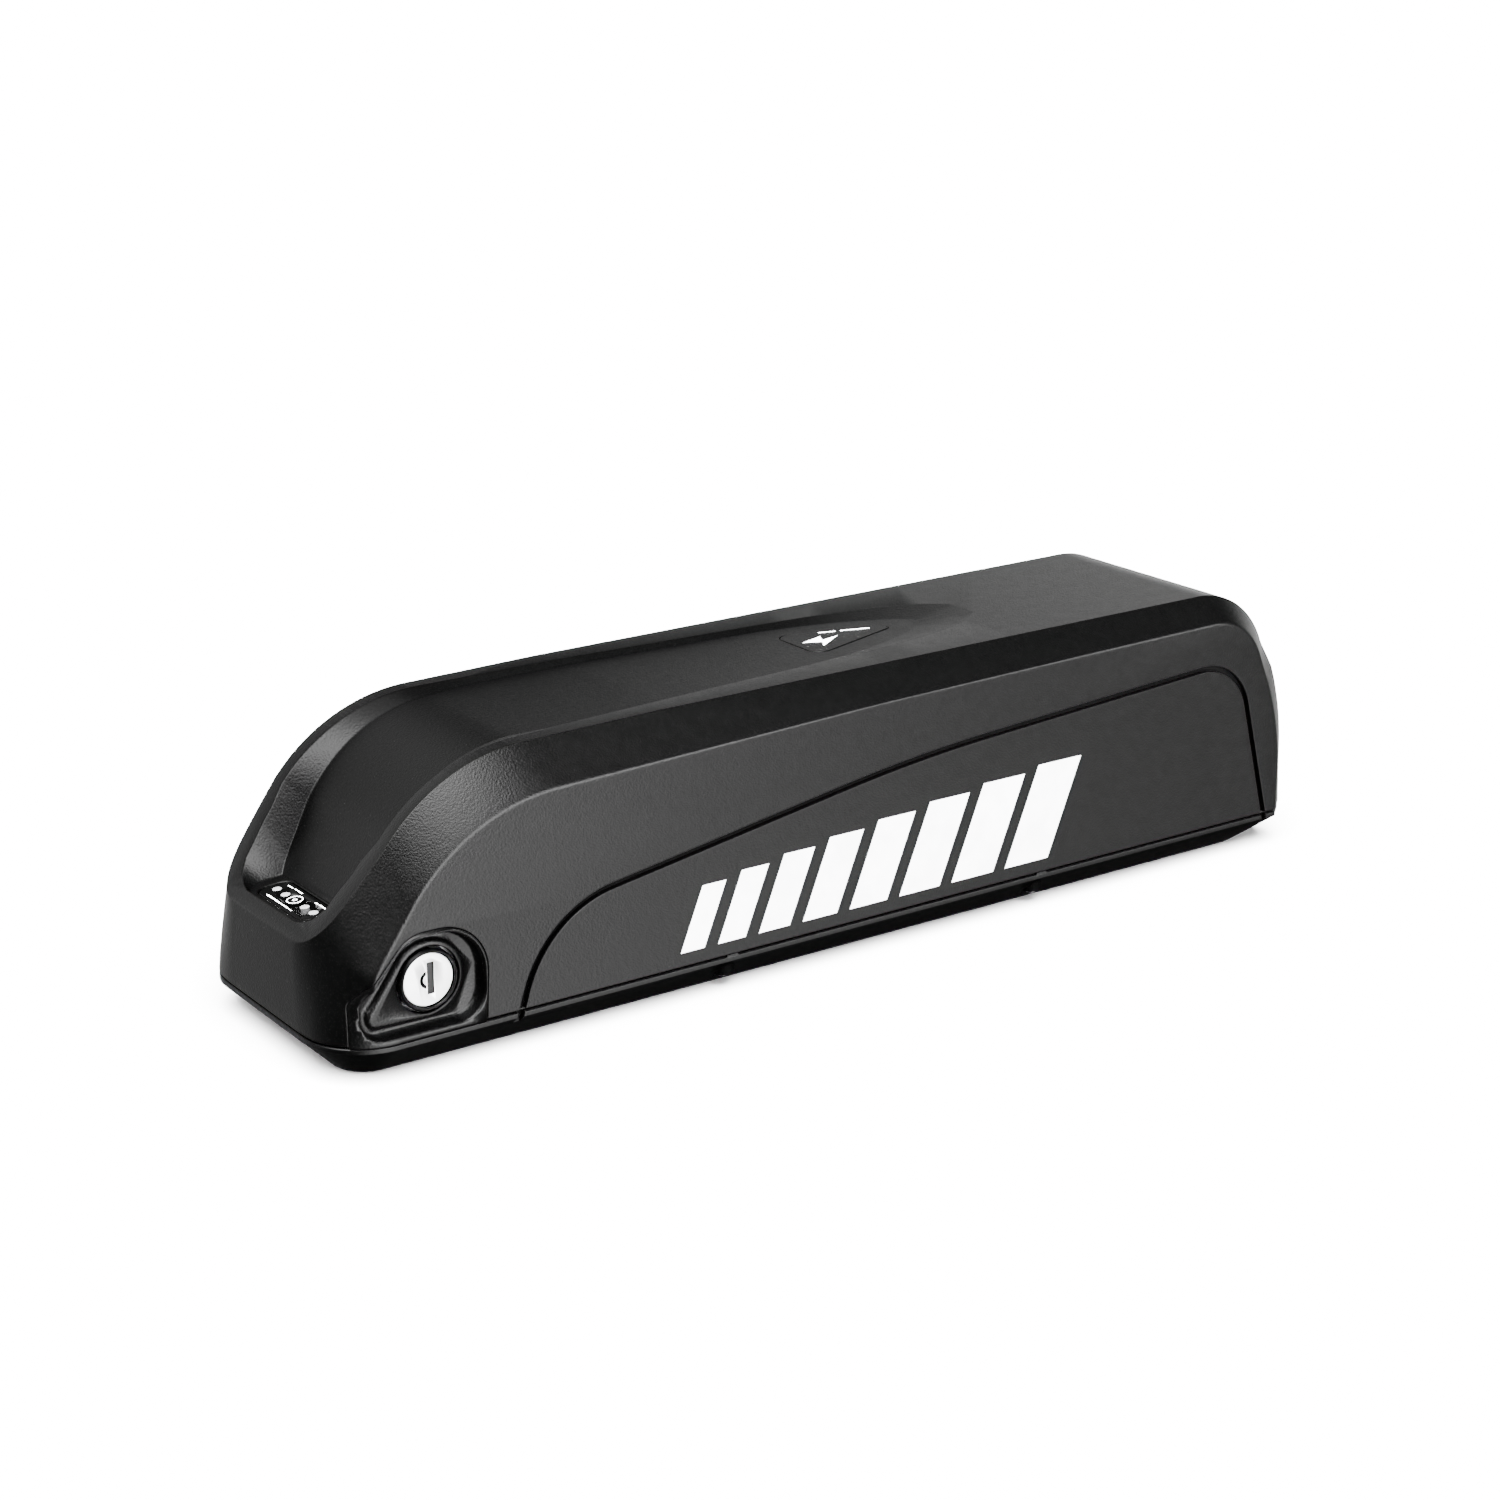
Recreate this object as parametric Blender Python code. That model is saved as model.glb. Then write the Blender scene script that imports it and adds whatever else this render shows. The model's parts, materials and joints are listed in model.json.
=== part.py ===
"""Down-tube battery pack: a two-part hard case with a key lock, a charge indicator,
a charge port, a power switch, a rail channel underneath, and the cells and board inside.

Units are metres. X runs from the nose to the tail, Y across, Z up. Profile points are
written as distances from the nose and from the floor, and centred on X when built.
"""
import math

import bmesh
import bpy
from mathutils import Matrix, Vector

# Case
LENGTH = 0.370
WIDTH = 0.090
WALL = 0.0028
PLATEAU_HALF = 0.035        # half width of the flat top, inside the chamfers
PARTING = 0.0122            # height of the joint between the two shells
PARTING_GAP = 0.0008
STRIP_LOW = 0.0098          # lower edge of the flush strip, where the bottom chamfer starts
FIT = 0.0003                # gap between touching pieces

# Rail channel and connector under the case
CHANNEL_HALF = 0.017
CHANNEL_DEPTH = 0.0075
CHANNEL_START = 0.022
CHANNEL_END = 0.350
LIP_HALF = 0.013            # half width of the channel's mouth between the retaining lips
LIP_HEIGHT = 0.0025
CONNECTOR_LENGTH = 0.024

# Lock
LOCK_X = 0.0315
LOCK_Z = 0.0273
LOCK_FACE_R = 0.0080
LOCK_RING_R = 0.0094
LOCK_FACE_Y = -0.0420
CAM_ARM = 0.0060

# Cells
CELL_R = 0.0106
CELL_LENGTH = 0.070
CELL_ROWS = 3
CELL_COLUMNS = 13
CELL_PITCH = 0.0222
CELL_FIRST_X = 0.0740
CELL_BASE_Z = 0.0141
STRIP_T = 0.0003

# Indicator
PANEL_X = 0.0118
PANEL_Z = 0.0424
PANEL_TILT = math.radians(5.0)
BUTTON_R = 0.0030

# Switch on the tail and port on the side opposite the lock
SWITCH_Z = 0.0290
ROCKER_HALF_Y = 0.0080
ROCKER_HALF_Z = 0.0050
PORT_R = 0.0085

COLOURS = {
    "shell": ((0.035, 0.035, 0.036), 0.55, 0.0),
    "black_plastic": ((0.012, 0.012, 0.012), 0.45, 0.0),
    "rubber": ((0.015, 0.015, 0.015), 0.80, 0.0),
    "steel": ((0.80, 0.80, 0.80), 0.25, 1.0),
    "nickel": ((0.62, 0.60, 0.56), 0.35, 1.0),
    "brass": ((0.80, 0.60, 0.25), 0.30, 1.0),
    "cell": ((0.05, 0.22, 0.36), 0.40, 0.0),
    "holder": ((0.08, 0.08, 0.08), 0.60, 0.0),
    "board": ((0.01, 0.16, 0.07), 0.50, 0.0),
    "aluminium": ((0.70, 0.70, 0.72), 0.40, 1.0),
    "red_lead": ((0.55, 0.02, 0.02), 0.50, 0.0),
    "foam": ((0.10, 0.10, 0.11), 0.95, 0.0),
}


# ---------------------------------------------------------------- helpers

def clear_scene():
    for obj in list(bpy.data.objects):
        bpy.data.objects.remove(obj, do_unlink=True)


def material(slot):
    mat = bpy.data.materials.get(slot)
    if mat is None:
        colour, roughness, metallic = COLOURS[slot]
        mat = bpy.data.materials.new(slot)
        mat.use_nodes = True
        shader = mat.node_tree.nodes["Principled BSDF"]
        shader.inputs["Base Color"].default_value = (*colour, 1.0)
        shader.inputs["Roughness"].default_value = roughness
        shader.inputs["Metallic"].default_value = metallic
        mat.diffuse_color = (*colour, 1.0)
    return mat


def nose(x):
    """Frame X of a point that lies x behind the nose."""
    return x - LENGTH / 2


def make_object(name, bm, slot, smooth=True):
    """Turn a bmesh into a named object with outward faces and one material."""
    bmesh.ops.recalc_face_normals(bm, faces=bm.faces)
    mesh = bpy.data.meshes.new(name)
    bm.to_mesh(mesh)
    bm.free()
    mesh.materials.append(material(slot))
    obj = bpy.data.objects.new(name, mesh)
    bpy.context.collection.objects.link(obj)
    if smooth:
        mesh.shade_smooth()
        mesh.set_sharp_from_angle(angle=math.radians(35))
    return obj


def set_origin(obj, point):
    """Move the object's origin to a point on its joint's axis, leaving its shape in place."""
    point = Vector(point)
    obj.data.transform(Matrix.Translation(-point))
    obj.location = point


def combine(obj, other, operation):
    """Apply a Boolean of obj with other, and remove other."""
    modifier = obj.modifiers.new(operation.lower(), "BOOLEAN")
    modifier.operation = operation
    modifier.object = other
    modifier.solver = "EXACT"
    graph = bpy.context.evaluated_depsgraph_get()
    mesh = bpy.data.meshes.new_from_object(obj.evaluated_get(graph))
    obj.modifiers.clear()
    old = obj.data
    obj.data = mesh
    mesh.name = obj.name
    bpy.data.meshes.remove(old)
    bpy.data.objects.remove(other, do_unlink=True)
    return obj


def cut(obj, *others):
    for other in others:
        combine(obj, other, "DIFFERENCE")
    return obj


def join(obj, *others):
    for other in others:
        combine(obj, other, "UNION")
    return obj


def box(name, low, high, slot="shell"):
    """A box between two corners; its x values are distances from the nose."""
    bm = bmesh.new()
    low = Vector((nose(low[0]), low[1], low[2]))
    high = Vector((nose(high[0]), high[1], high[2]))
    bmesh.ops.create_cube(bm, size=1.0)
    size = high - low
    bmesh.ops.scale(bm, vec=size, verts=bm.verts)
    bmesh.ops.translate(bm, vec=(low + high) / 2, verts=bm.verts)
    return make_object(name, bm, slot, smooth=False)


def rod(name, start, end, radius, slot="shell", sides=20, end_radius=None):
    """A cylinder or cone frustum between two frame points."""
    start = Vector(start)
    end = Vector(end)
    axis = end - start
    bm = bmesh.new()
    bmesh.ops.create_cone(
        bm, cap_ends=True, segments=sides, radius1=radius,
        radius2=radius if end_radius is None else end_radius, depth=axis.length)
    turn = Vector((0, 0, 1)).rotation_difference(axis.normalized()).to_matrix().to_4x4()
    bmesh.ops.transform(bm, matrix=Matrix.Translation((start + end) / 2) @ turn, verts=bm.verts)
    return make_object(name, bm, slot)


def rounded(corners, steps):
    """Points along a path whose corners (a, b, radius) are turned into arcs.

    A corner with no radius gives one point, any other gives steps + 1 points.
    """
    points = []
    last = len(corners) - 1
    for i, (a, b, radius) in enumerate(corners):
        corner = Vector((a, b))
        if radius == 0 or i in (0, last):
            points.append(corner)
            continue
        back = (Vector(corners[i - 1][:2]) - corner).normalized()
        ahead = (Vector(corners[i + 1][:2]) - corner).normalized()
        half = back.angle(ahead) / 2
        centre = corner + (back + ahead).normalized() * (radius / math.sin(half))
        reach = radius / math.tan(half)
        first = corner + back * reach - centre
        final = corner + ahead * reach - centre
        sweep = first.angle_signed(final)
        for k in range(steps + 1):
            arm = first.copy()
            arm.rotate(Matrix.Rotation(-sweep * k / steps, 2))
            points.append(centre + arm)
    return points


def closed_outline(corners, steps):
    """The same for a closed outline: every corner may be rounded."""
    ring = [corners[-1]] + list(corners) + [corners[0]]
    points = rounded(ring, steps)
    return points[1:-1]


def split_quads(bm):
    """Turn the faces so far, which may be slightly twisted, into flat triangles."""
    bmesh.ops.triangulate(bm, faces=bm.faces, quad_method="SHORT_EDGE")


def prism(name, outline, low_y, high_y, slot="shell"):
    """Extrude an outline of (distance from nose, height) points along Y."""
    bm = bmesh.new()
    near = [bm.verts.new((nose(x), low_y, z)) for x, z in outline]
    far = [bm.verts.new((nose(x), high_y, z)) for x, z in outline]
    bm.faces.new(near)
    bm.faces.new(list(reversed(far)))
    count = len(outline)
    for i in range(count):
        k = (i + 1) % count
        bm.faces.new((near[k], near[i], far[i], far[k]))
    return make_object(name, bm, slot)


def loft(name, rows, slot="shell"):
    """Skin a closed solid over equal rows of points and cap its first and last row.

    Each row is a closed ring of frame points.
    """
    bm = bmesh.new()
    rings = [[bm.verts.new(p) for p in row] for row in rows]
    for ring, following in zip(rings, rings[1:]):
        count = len(ring)
        for i in range(count):
            k = (i + 1) % count
            bm.faces.new((ring[i], ring[k], following[k], following[i]))
    split_quads(bm)
    bm.faces.new(list(reversed(rings[0])))
    bm.faces.new(rings[-1])
    return make_object(name, bm, slot)


# ---------------------------------------------------------------- case form

# One line for each station of the case: the top profile's corner (x, z, radius), the side
# edge's corner (x, z, radius), the half width of the top there, and how round the surface
# between the two is (1 is a quarter of an ellipse, 0 is a flat chamfer).
OUTER_STATIONS = (
    ((0.0000, PARTING, 0), (0.0200, PARTING, 0), 0.0250, 1.00),
    ((0.0003, 0.0220, 0), (0.0170, 0.0200, 0), 0.0245, 0.80),
    ((0.0006, 0.0300, 0), (0.0140, 0.0260, 0), 0.0235, 0.50),
    ((0.0009, 0.0385, 0), (0.0125, 0.0318, 0), 0.0220, 0.25),
    ((0.0025, 0.0404, 0), (0.0135, 0.0331, 0), 0.0278, 0.20),
    ((0.0051, 0.0436, 0), (0.0155, 0.0360, 0), 0.0307, 0.12),
    ((0.0099, 0.0496, 0), (0.0196, 0.0419, 0), 0.0324, 0.08),
    ((0.0411, 0.0886, 0.059), (0.0431, 0.0758, 0.062), PLATEAU_HALF, 0.06),
    ((0.1150, 0.0901, 0), (0.1887, 0.0811, 0), PLATEAU_HALF, 0.06),
    ((0.3525, 0.0911, 0.0325), (0.3447, 0.0842, 0.024), PLATEAU_HALF, 0.06),
    ((LENGTH, 0.0460, 0.090), (0.3622, 0.0417, 0.090), 0.0378, 0.06),
    ((LENGTH, PARTING, 0), (0.3622, PARTING, 0), 0.0385, 0.06),
)

CAVITY_FOOT = PARTING - 0.0020
CAVITY_STATIONS = (
    ((0.0028, CAVITY_FOOT, 0), (0.0200, CAVITY_FOOT, 0), 0.0235, 1.00),
    ((0.0034, 0.0290, 0), (0.0165, 0.0240, 0), 0.0220, 0.50),
    ((0.0045, 0.0360, 0), (0.0165, 0.0310, 0), 0.0200, 0.30),
    ((0.0080, 0.0388, 0), (0.0190, 0.0340, 0), 0.0240, 0.10),
    ((0.0190, 0.0397, 0), (0.0225, 0.0400, 0), 0.0290, 0.10),
    ((0.0452, 0.0837, 0.048), (0.0460, 0.0722, 0.058), 0.0330, 0.10),
    ((0.2380, 0.0862, 0), (0.1887, 0.0780, 0), 0.0330, 0.10),
    ((0.3503, 0.0880, 0.030), (0.3425, 0.0808, 0.021), 0.0330, 0.10),
    ((LENGTH - WALL, 0.0455, 0.087), (0.3593, 0.0412, 0.087), 0.0352, 0.10),
    ((LENGTH - WALL, CAVITY_FOOT, 0), (0.3593, CAVITY_FOOT, 0), 0.0360, 0.10),
)


def hull_rows(stations, side, arc_steps, edge_steps):
    """Rows of points over the case, from the nose's foot to the tail's foot."""
    tops = rounded([s[0] for s in stations], arc_steps)
    edges = rounded([s[1] for s in stations], arc_steps)
    shape = []
    for top, edge, half, roundness in stations:
        shape += [(half, roundness)] * (1 if top[2] == 0 else arc_steps + 1)
    rows = []
    for top, edge, (half, roundness) in zip(tops, edges, shape):
        flank = []
        for k in range(edge_steps + 1):
            u = k / edge_steps
            turn = u * math.pi / 2
            along = (1 - roundness) * u + roundness * (1 - math.cos(turn))
            across = (1 - roundness) * u + roundness * math.sin(turn)
            point = top.lerp(edge, along)
            flank.append((point.x, half + (side - half) * across, point.y))
        row = [(nose(x), y, z) for x, y, z in reversed(flank)]
        row += [(nose(x), -y, z) for x, y, z in flank]
        rows.append(row)
    return rows


def hull(name, stations, side, arc_steps, edge_steps):
    """The closed solid under hull_rows; its first and last rows lie in its flat foot."""
    rows = hull_rows(stations, side, arc_steps, edge_steps)
    bm = bmesh.new()
    rings = [[bm.verts.new(p) for p in row] for row in rows]
    for ring, following in zip(rings, rings[1:]):
        for i in range(len(ring) - 1):
            bm.faces.new((ring[i], ring[i + 1], following[i + 1], following[i]))
    split_quads(bm)
    bm.faces.new([ring[0] for ring in rings])
    bm.faces.new([ring[-1] for ring in reversed(rings)])
    bm.faces.new(rings[0] + list(reversed(rings[-1])))
    return make_object(name, bm, "shell")


# Scoop in the top: floor point (x, z, half width) and rim point (x, z, half width).
SCOOP_STATIONS = (
    ((0.0050, 0.0418, 0.0140), (0.0043, 0.0426, 0.0150)),
    ((0.0064, 0.0420, 0.0175), (0.0054, 0.0440, 0.0205)),
    ((0.0110, 0.0424, 0.0192), (0.0090, 0.0485, 0.0253)),
    ((0.0175, 0.0430, 0.0190), (0.0148, 0.0557, 0.0270)),
    ((0.0210, 0.0489, 0.0222), (0.0190, 0.0610, 0.0282)),
    ((0.0436, 0.0868, 0.0240), (0.0411, 0.0886, 0.0300)),
    ((0.0850, 0.0878, 0.0255), (0.0850, 0.0893, 0.0290)),
    ((0.1200, 0.0886, 0.0242), (0.1200, 0.0901, 0.0272)),
    ((0.1650, 0.0889, 0.0218), (0.1650, 0.0903, 0.0241)),
    ((0.2050, 0.0892, 0.0165), (0.2080, 0.0905, 0.0212)),
    ((0.2220, 0.0893, 0.0110), (0.2320, 0.0906, 0.0175)),
    ((0.2330, 0.0894, 0.0060), (0.2480, 0.0907, 0.0120)),
    ((0.2380, 0.0895, 0.0015), (0.2590, 0.0908, 0.0030)),
)
SCOOP_NOSE = 5              # the station whose corner is turned into the nose's arc
SCOOP_FLOOR_R = 0.051
SCOOP_RIM_R = 0.059
SCOOP_RISE = 0.004          # how far the cutter stands out of the case


def scoop_cutter():
    arc_steps = 8
    floors = []
    rims = []
    for i, (floor, rim) in enumerate(SCOOP_STATIONS):
        floors.append((floor[0], floor[1], SCOOP_FLOOR_R if i == SCOOP_NOSE else 0))
        rims.append((rim[0], rim[1], SCOOP_RIM_R if i == SCOOP_NOSE else 0))
    floor_points = rounded(floors, arc_steps)
    rim_points = rounded(rims, arc_steps)
    widths = []
    for i, (floor, rim) in enumerate(SCOOP_STATIONS):
        widths += [(floor[2], rim[2])] * (arc_steps + 1 if i == SCOOP_NOSE else 1)
    rows = []
    for i, (floor, rim, (floor_half, rim_half)) in enumerate(zip(floor_points, rim_points, widths)):
        before = rim_points[max(i - 1, 0)]
        after = rim_points[min(i + 1, len(rim_points) - 1)]
        along = (after - before).normalized()
        out = Vector((-along.y, along.x))
        rise = rim + out * SCOOP_RISE
        spread = (rim_half - floor_half) * SCOOP_RISE / max((rim - floor).dot(out), SCOOP_RISE)
        rise_half = rim_half + spread
        row = []
        for (x, z), half in ((rise, rise_half), (rim, rim_half), (floor, floor_half)):
            row.append((nose(x), half, z))
        row += [(x, -y, z) for x, y, z in reversed(row)]
        rows.append(row)
    return loft("scoop_cutter", rows)


# Groove that outlines the panel on each side, as (x, z, radius)
GROOVE_PATH = (
    (0.0586, 0.0070, 0),
    (0.0686, 0.0397, 0.038),
    (0.2050, 0.0614, 0.600),
    (0.3411, 0.0697, 0.021),
    (0.3580, 0.0065, 0),
)
GROOVE_HALF = 0.00075
GROOVE_DEPTH = 0.0009


def groove_cutter(side):
    """A ribbon-shaped prism that cuts the groove into the side at y = side * WIDTH / 2."""
    path = rounded(GROOVE_PATH, 7)
    left = []
    right = []
    for i, point in enumerate(path):
        along = (path[min(i + 1, len(path) - 1)] - path[max(i - 1, 0)]).normalized()
        across = Vector((-along.y, along.x)) * GROOVE_HALF
        left.append(point + across)
        right.append(point - across)
    face = side * WIDTH / 2
    inner = face - side * GROOVE_DEPTH
    outer = face + side * GROOVE_DEPTH
    return prism("groove_cutter", left + list(reversed(right)), min(inner, outer), max(inner, outer))


# Insert that carries the lock, and its mirror image that carries the charge port
BEZEL_CORNERS = (
    (0.0070, PARTING - 0.001, 0.0001),
    (0.0074, 0.0246, 0.0040),
    (0.0239, 0.0430, 0.0120),
    (0.0500, 0.0430, 0.0155),
    (0.0484, PARTING - 0.001, 0.0001),
)
RECESS_CORNERS = (
    (0.0089, 0.0130, 0.0064),
    (0.0089, 0.0244, 0.0055),
    (0.0240, 0.0418, 0.0110),
    (0.0486, 0.0418, 0.0146),
    (0.0486, 0.0130, 0.0090),
)
BEZEL_DEPTH = 0.0080
RECESS_DEPTH = 0.0045
PORT_RECESS_DEPTH = 0.0030
PEDESTAL_DEPTH = 0.0030     # how far the pedestal's top lies behind the side of the case
PEDESTAL_R = 0.0112
PEDESTAL_TIP = (0.0154, 0.0195, 0.0028)


def grow(corners, amount):
    """The closed outline (x, z, radius) moved outwards by amount; it runs clockwise."""
    grown = []
    count = len(corners)
    for i, (x, z, radius) in enumerate(corners):
        here = Vector((x, z))
        back = (here - Vector(corners[i - 1][:2])).normalized()
        ahead = (Vector(corners[(i + 1) % count][:2]) - here).normalized()
        out = Vector((-back.y, back.x)) + Vector((-ahead.y, ahead.x))
        out = out / (1 + back.dot(ahead))
        moved = here + out * amount
        grown.append((moved.x, moved.y, radius + amount))
    return grown


def teardrop(centre, radius, tip, tip_radius, steps):
    """The outline around two circles, a large one and a small one at the tip."""
    centre = Vector(centre)
    tip = Vector(tip)
    axis = tip - centre
    heading = math.atan2(axis.y, axis.x)
    lean = math.acos((radius - tip_radius) / axis.length)
    points = []
    for k in range(steps + 1):
        angle = heading + lean + (2 * math.pi - 2 * lean) * k / steps
        points.append(centre + Vector((math.cos(angle), math.sin(angle))) * radius)
    for k in range(steps // 3 + 1):
        angle = heading - lean + 2 * lean * k / (steps // 3)
        points.append(tip + Vector((math.cos(angle), math.sin(angle))) * tip_radius)
    return points


def side_prism(name, outline, side, inner_depth, outer_depth, slot="shell"):
    """A prism at one side of the case between two depths behind its flat side."""
    ends = (side * (WIDTH / 2 - inner_depth), side * (WIDTH / 2 - outer_depth))
    return prism(name, outline, min(ends), max(ends), slot)


def bezel(name, side, recess_depth):
    """An insert whose outer face follows the case, with a recess in it."""
    body = side_prism(name, closed_outline(BEZEL_CORNERS, 5), side, BEZEL_DEPTH, -0.002)
    combine(body, hull("case_form", OUTER_STATIONS, WIDTH / 2, 8, 4), "INTERSECT")
    recess = side_prism("recess", closed_outline(RECESS_CORNERS, 5), side, recess_depth, -0.003)
    return cut(body, recess)


# ---------------------------------------------------------------- shells

SCREW_XS = (0.1340, 0.2565)
SCREW_Y = 0.0394
BOSS_R = 0.0036
BOSS_TOP = 0.0320
SCREW_R = 0.0013
SCREW_HEAD_R = 0.0028
COUNTERBORE_R = 0.0035
COUNTERBORE_TOP = 0.0062


def screw_places():
    return [(nose(x), side * SCREW_Y) for x in SCREW_XS for side in (-1, 1)]


def panel_frame(x, y, depth):
    """A point on the indicator shelf: x along the slope from its middle, y, depth below."""
    return (
        nose(PANEL_X) + x * math.cos(PANEL_TILT) + depth * math.sin(PANEL_TILT),
        y,
        PANEL_Z + x * math.sin(PANEL_TILT) - depth * math.cos(PANEL_TILT))


def upper_shell():
    shell = hull("upper_shell", OUTER_STATIONS, WIDTH / 2, 8, 4)
    cut(shell, hull("cavity", CAVITY_STATIONS, WIDTH / 2 - WALL, 6, 2), scoop_cutter())
    for y in LED_YS:
        cut(shell, rod("light_hole", panel_frame(0, y, 0.006), panel_frame(0, y, -0.003), 0.0016, sides=8))
    for side in (-1, 1):
        outline = closed_outline(grow(BEZEL_CORNERS, FIT), 5)
        cut(shell, side_prism("bezel_hole", outline, side, BEZEL_DEPTH + 0.001, -0.002))
        cut(shell, groove_cutter(side))
    for x, y in screw_places():
        join(shell, rod("boss", (x, y, PARTING), (x, y, BOSS_TOP), BOSS_R, sides=10))
        cut(shell, rod("pilot", (x, y, 0.0), (x, y, BOSS_TOP - 0.002), SCREW_R + FIT, sides=8))
    cut(shell, rod("button_hole", panel_frame(0, 0, 0.006), panel_frame(0, 0, -0.003), BUTTON_R + FIT))
    cut(shell, overlay_plate("overlay_pocket", FIT, -0.004), badge_plate("badge_pocket", FIT, 0.095))
    hole_y = SWITCH_HALF_Y + FIT
    hole_z = SWITCH_HALF_Z + FIT
    cut(shell, box("switch_hole", (0.3600, -hole_y, SWITCH_Z - hole_z),
                   (0.3720, hole_y, SWITCH_Z + hole_z)))
    return shell


def plan_ring(inset, corner_r, tail_inset, tail_cut, z):
    """The case's outline in plan at one height, as a ring of points."""
    half = WIDTH / 2 - inset
    tail = LENGTH - tail_inset
    corners = (
        (inset, -half, corner_r),
        (inset, half, corner_r),
        (tail - tail_cut, half, 0.001),
        (tail, half - tail_cut * 0.85, 0.001),
        (tail, -half + tail_cut * 0.85, 0.001),
        (tail - tail_cut, -half, 0.001),
    )
    return [(nose(x), y, z) for x, y in closed_outline(corners, 5)]


def lower_shell():
    top = PARTING - PARTING_GAP
    shell = loft("lower_shell", [
        plan_ring(0.0097, 0.0100, 0.0140, 0.0040, 0.0),
        plan_ring(0.0, 0.0200, 0.0, 0.0078, STRIP_LOW),
        plan_ring(0.0, 0.0200, 0.0, 0.0078, top),
    ])
    pocket = loft("pocket", [
        plan_ring(0.0097 + WALL, 0.0080, 0.0140 + WALL, 0.0040, WALL),
        plan_ring(WALL, 0.0175, WALL, 0.0078, STRIP_LOW + 0.0006),
        plan_ring(WALL, 0.0175, WALL, 0.0078, top + 0.001),
    ])
    cut(shell, pocket)
    roof = CHANNEL_DEPTH + 0.0025
    wall_half = CHANNEL_HALF + WALL
    join(shell, box("tunnel", (CHANNEL_START - WALL, -wall_half, 0.0005),
                    (CHANNEL_END + WALL, wall_half, roof)))
    cut(shell,
        box("channel", (CHANNEL_START, -CHANNEL_HALF, LIP_HEIGHT),
            (CHANNEL_END, CHANNEL_HALF, CHANNEL_DEPTH)),
        box("mouth", (CHANNEL_START, -LIP_HALF, -0.001), (CHANNEL_END, LIP_HALF, LIP_HEIGHT + 0.001)))
    for x in ENTRY_XS:
        cut(shell, box("entry", (x, -CHANNEL_HALF, -0.001),
                       (x + ENTRY_LENGTH, CHANNEL_HALF, LIP_HEIGHT + 0.001)))
    for x, y in screw_places():
        join(shell, rod("boss", (x, y, 0.0045), (x, y, top), BOSS_R, sides=10))
        cut(shell,
            rod("counterbore", (x, y, -0.001), (x, y, COUNTERBORE_TOP), COUNTERBORE_R, sides=12),
            rod("pilot", (x, y, 0.0), (x, y, PARTING), SCREW_R + FIT, sides=8))
    for x in SCREW_XS:
        for side in (-1, 1):
            ys = sorted((side * 0.0438, side * 0.0448))
            join(shell, box("tab", (x - 0.002, ys[0], top - 0.0005), (x + 0.002, ys[1], top + 0.0005)))
    for side in (-1, 1):
        cut(shell, groove_cutter(side))
        leg = side * CONTACT_Y
        cut(shell, box("leg_slot", (LEG_X - 0.0007, leg - 0.0010, 0.006),
                       (LEG_X + 0.0021, leg + 0.0010, 0.012)))
    half = BOLT_HALF + 2 * FIT
    cut(shell, box("bolt_hole", (BOLT_X - half, BOLT_Y - half, 0.006),
                   (BOLT_X + half, BOLT_Y + half, 0.012)))
    return shell


def shell_gasket():
    low = PARTING - PARTING_GAP + 0.0002
    high = PARTING - 0.0002
    ring = loft("shell_gasket", [
        plan_ring(0.0015, 0.0185, 0.0015, 0.0078, low),
        plan_ring(0.0015, 0.0185, 0.0015, 0.0078, high),
    ], "rubber")
    inner = loft("gasket_hole", [
        plan_ring(0.0026, 0.0177, 0.0026, 0.0078, low - 0.001),
        plan_ring(0.0026, 0.0177, 0.0026, 0.0078, high + 0.001),
    ])
    return cut(ring, inner)


def shell_screws():
    for number, (x, y) in enumerate(screw_places(), start=1):
        head_low = COUNTERBORE_TOP - FIT - 0.0018
        head_high = COUNTERBORE_TOP - FIT
        screw = rod(f"shell_screw_{number}", (x, y, head_low), (x, y, head_high),
                    SCREW_HEAD_R, "steel", 12)
        join(screw, rod("shank", (x, y, head_low + 0.0009), (x, y, BOSS_TOP - 0.004), SCREW_R, sides=8))
        cut(screw, rod("drive", (x, y, head_low - 0.001), (x, y, head_low + 0.001), 0.0012, sides=6))


# ---------------------------------------------------------------- badge and indicator

BADGE_CORNERS = (
    (0.1892, 0.0126, 0.0045),
    (0.2308, 0.0000, 0.0020),
    (0.1892, -0.0126, 0.0045),
)
BADGE_Z = 0.0888
BADGE_T = 0.0005
OVERLAY_HALF_X = 0.0054
OVERLAY_HALF_Y = 0.0150
OVERLAY_T = 0.0004
OVERLAY_LOW = 0.0006        # depth of the label's underside below the shelf
LED_YS = (-0.01155, -0.0061, 0.0061, 0.01155)


def badge_plate(name, margin, top, slot="black_plastic"):
    """The badge in the floor of the scoop, or with a margin its pocket."""
    outline = closed_outline(grow(BADGE_CORNERS, margin), 4)
    rows = [[(nose(x), y, z) for x, y in outline] for z in (BADGE_Z - margin, top)]
    return loft(name, rows, slot)


def overlay_plate(name, margin, top_depth, slot="black_plastic"):
    """The indicator's label, or with a margin its pocket; depths are below the shelf."""
    half_x = OVERLAY_HALF_X + margin
    half_y = OVERLAY_HALF_Y + margin
    corner = 0.0035
    corners = ((-half_x, -half_y, corner), (-half_x, half_y, corner),
               (half_x, half_y, corner), (half_x, -half_y, corner))
    outline = closed_outline(corners, 3)
    low_depth = OVERLAY_LOW + margin
    rows = [[panel_frame(x, y, depth) for x, y in outline] for depth in (low_depth, top_depth)]
    return loft(name, rows, slot)


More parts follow.
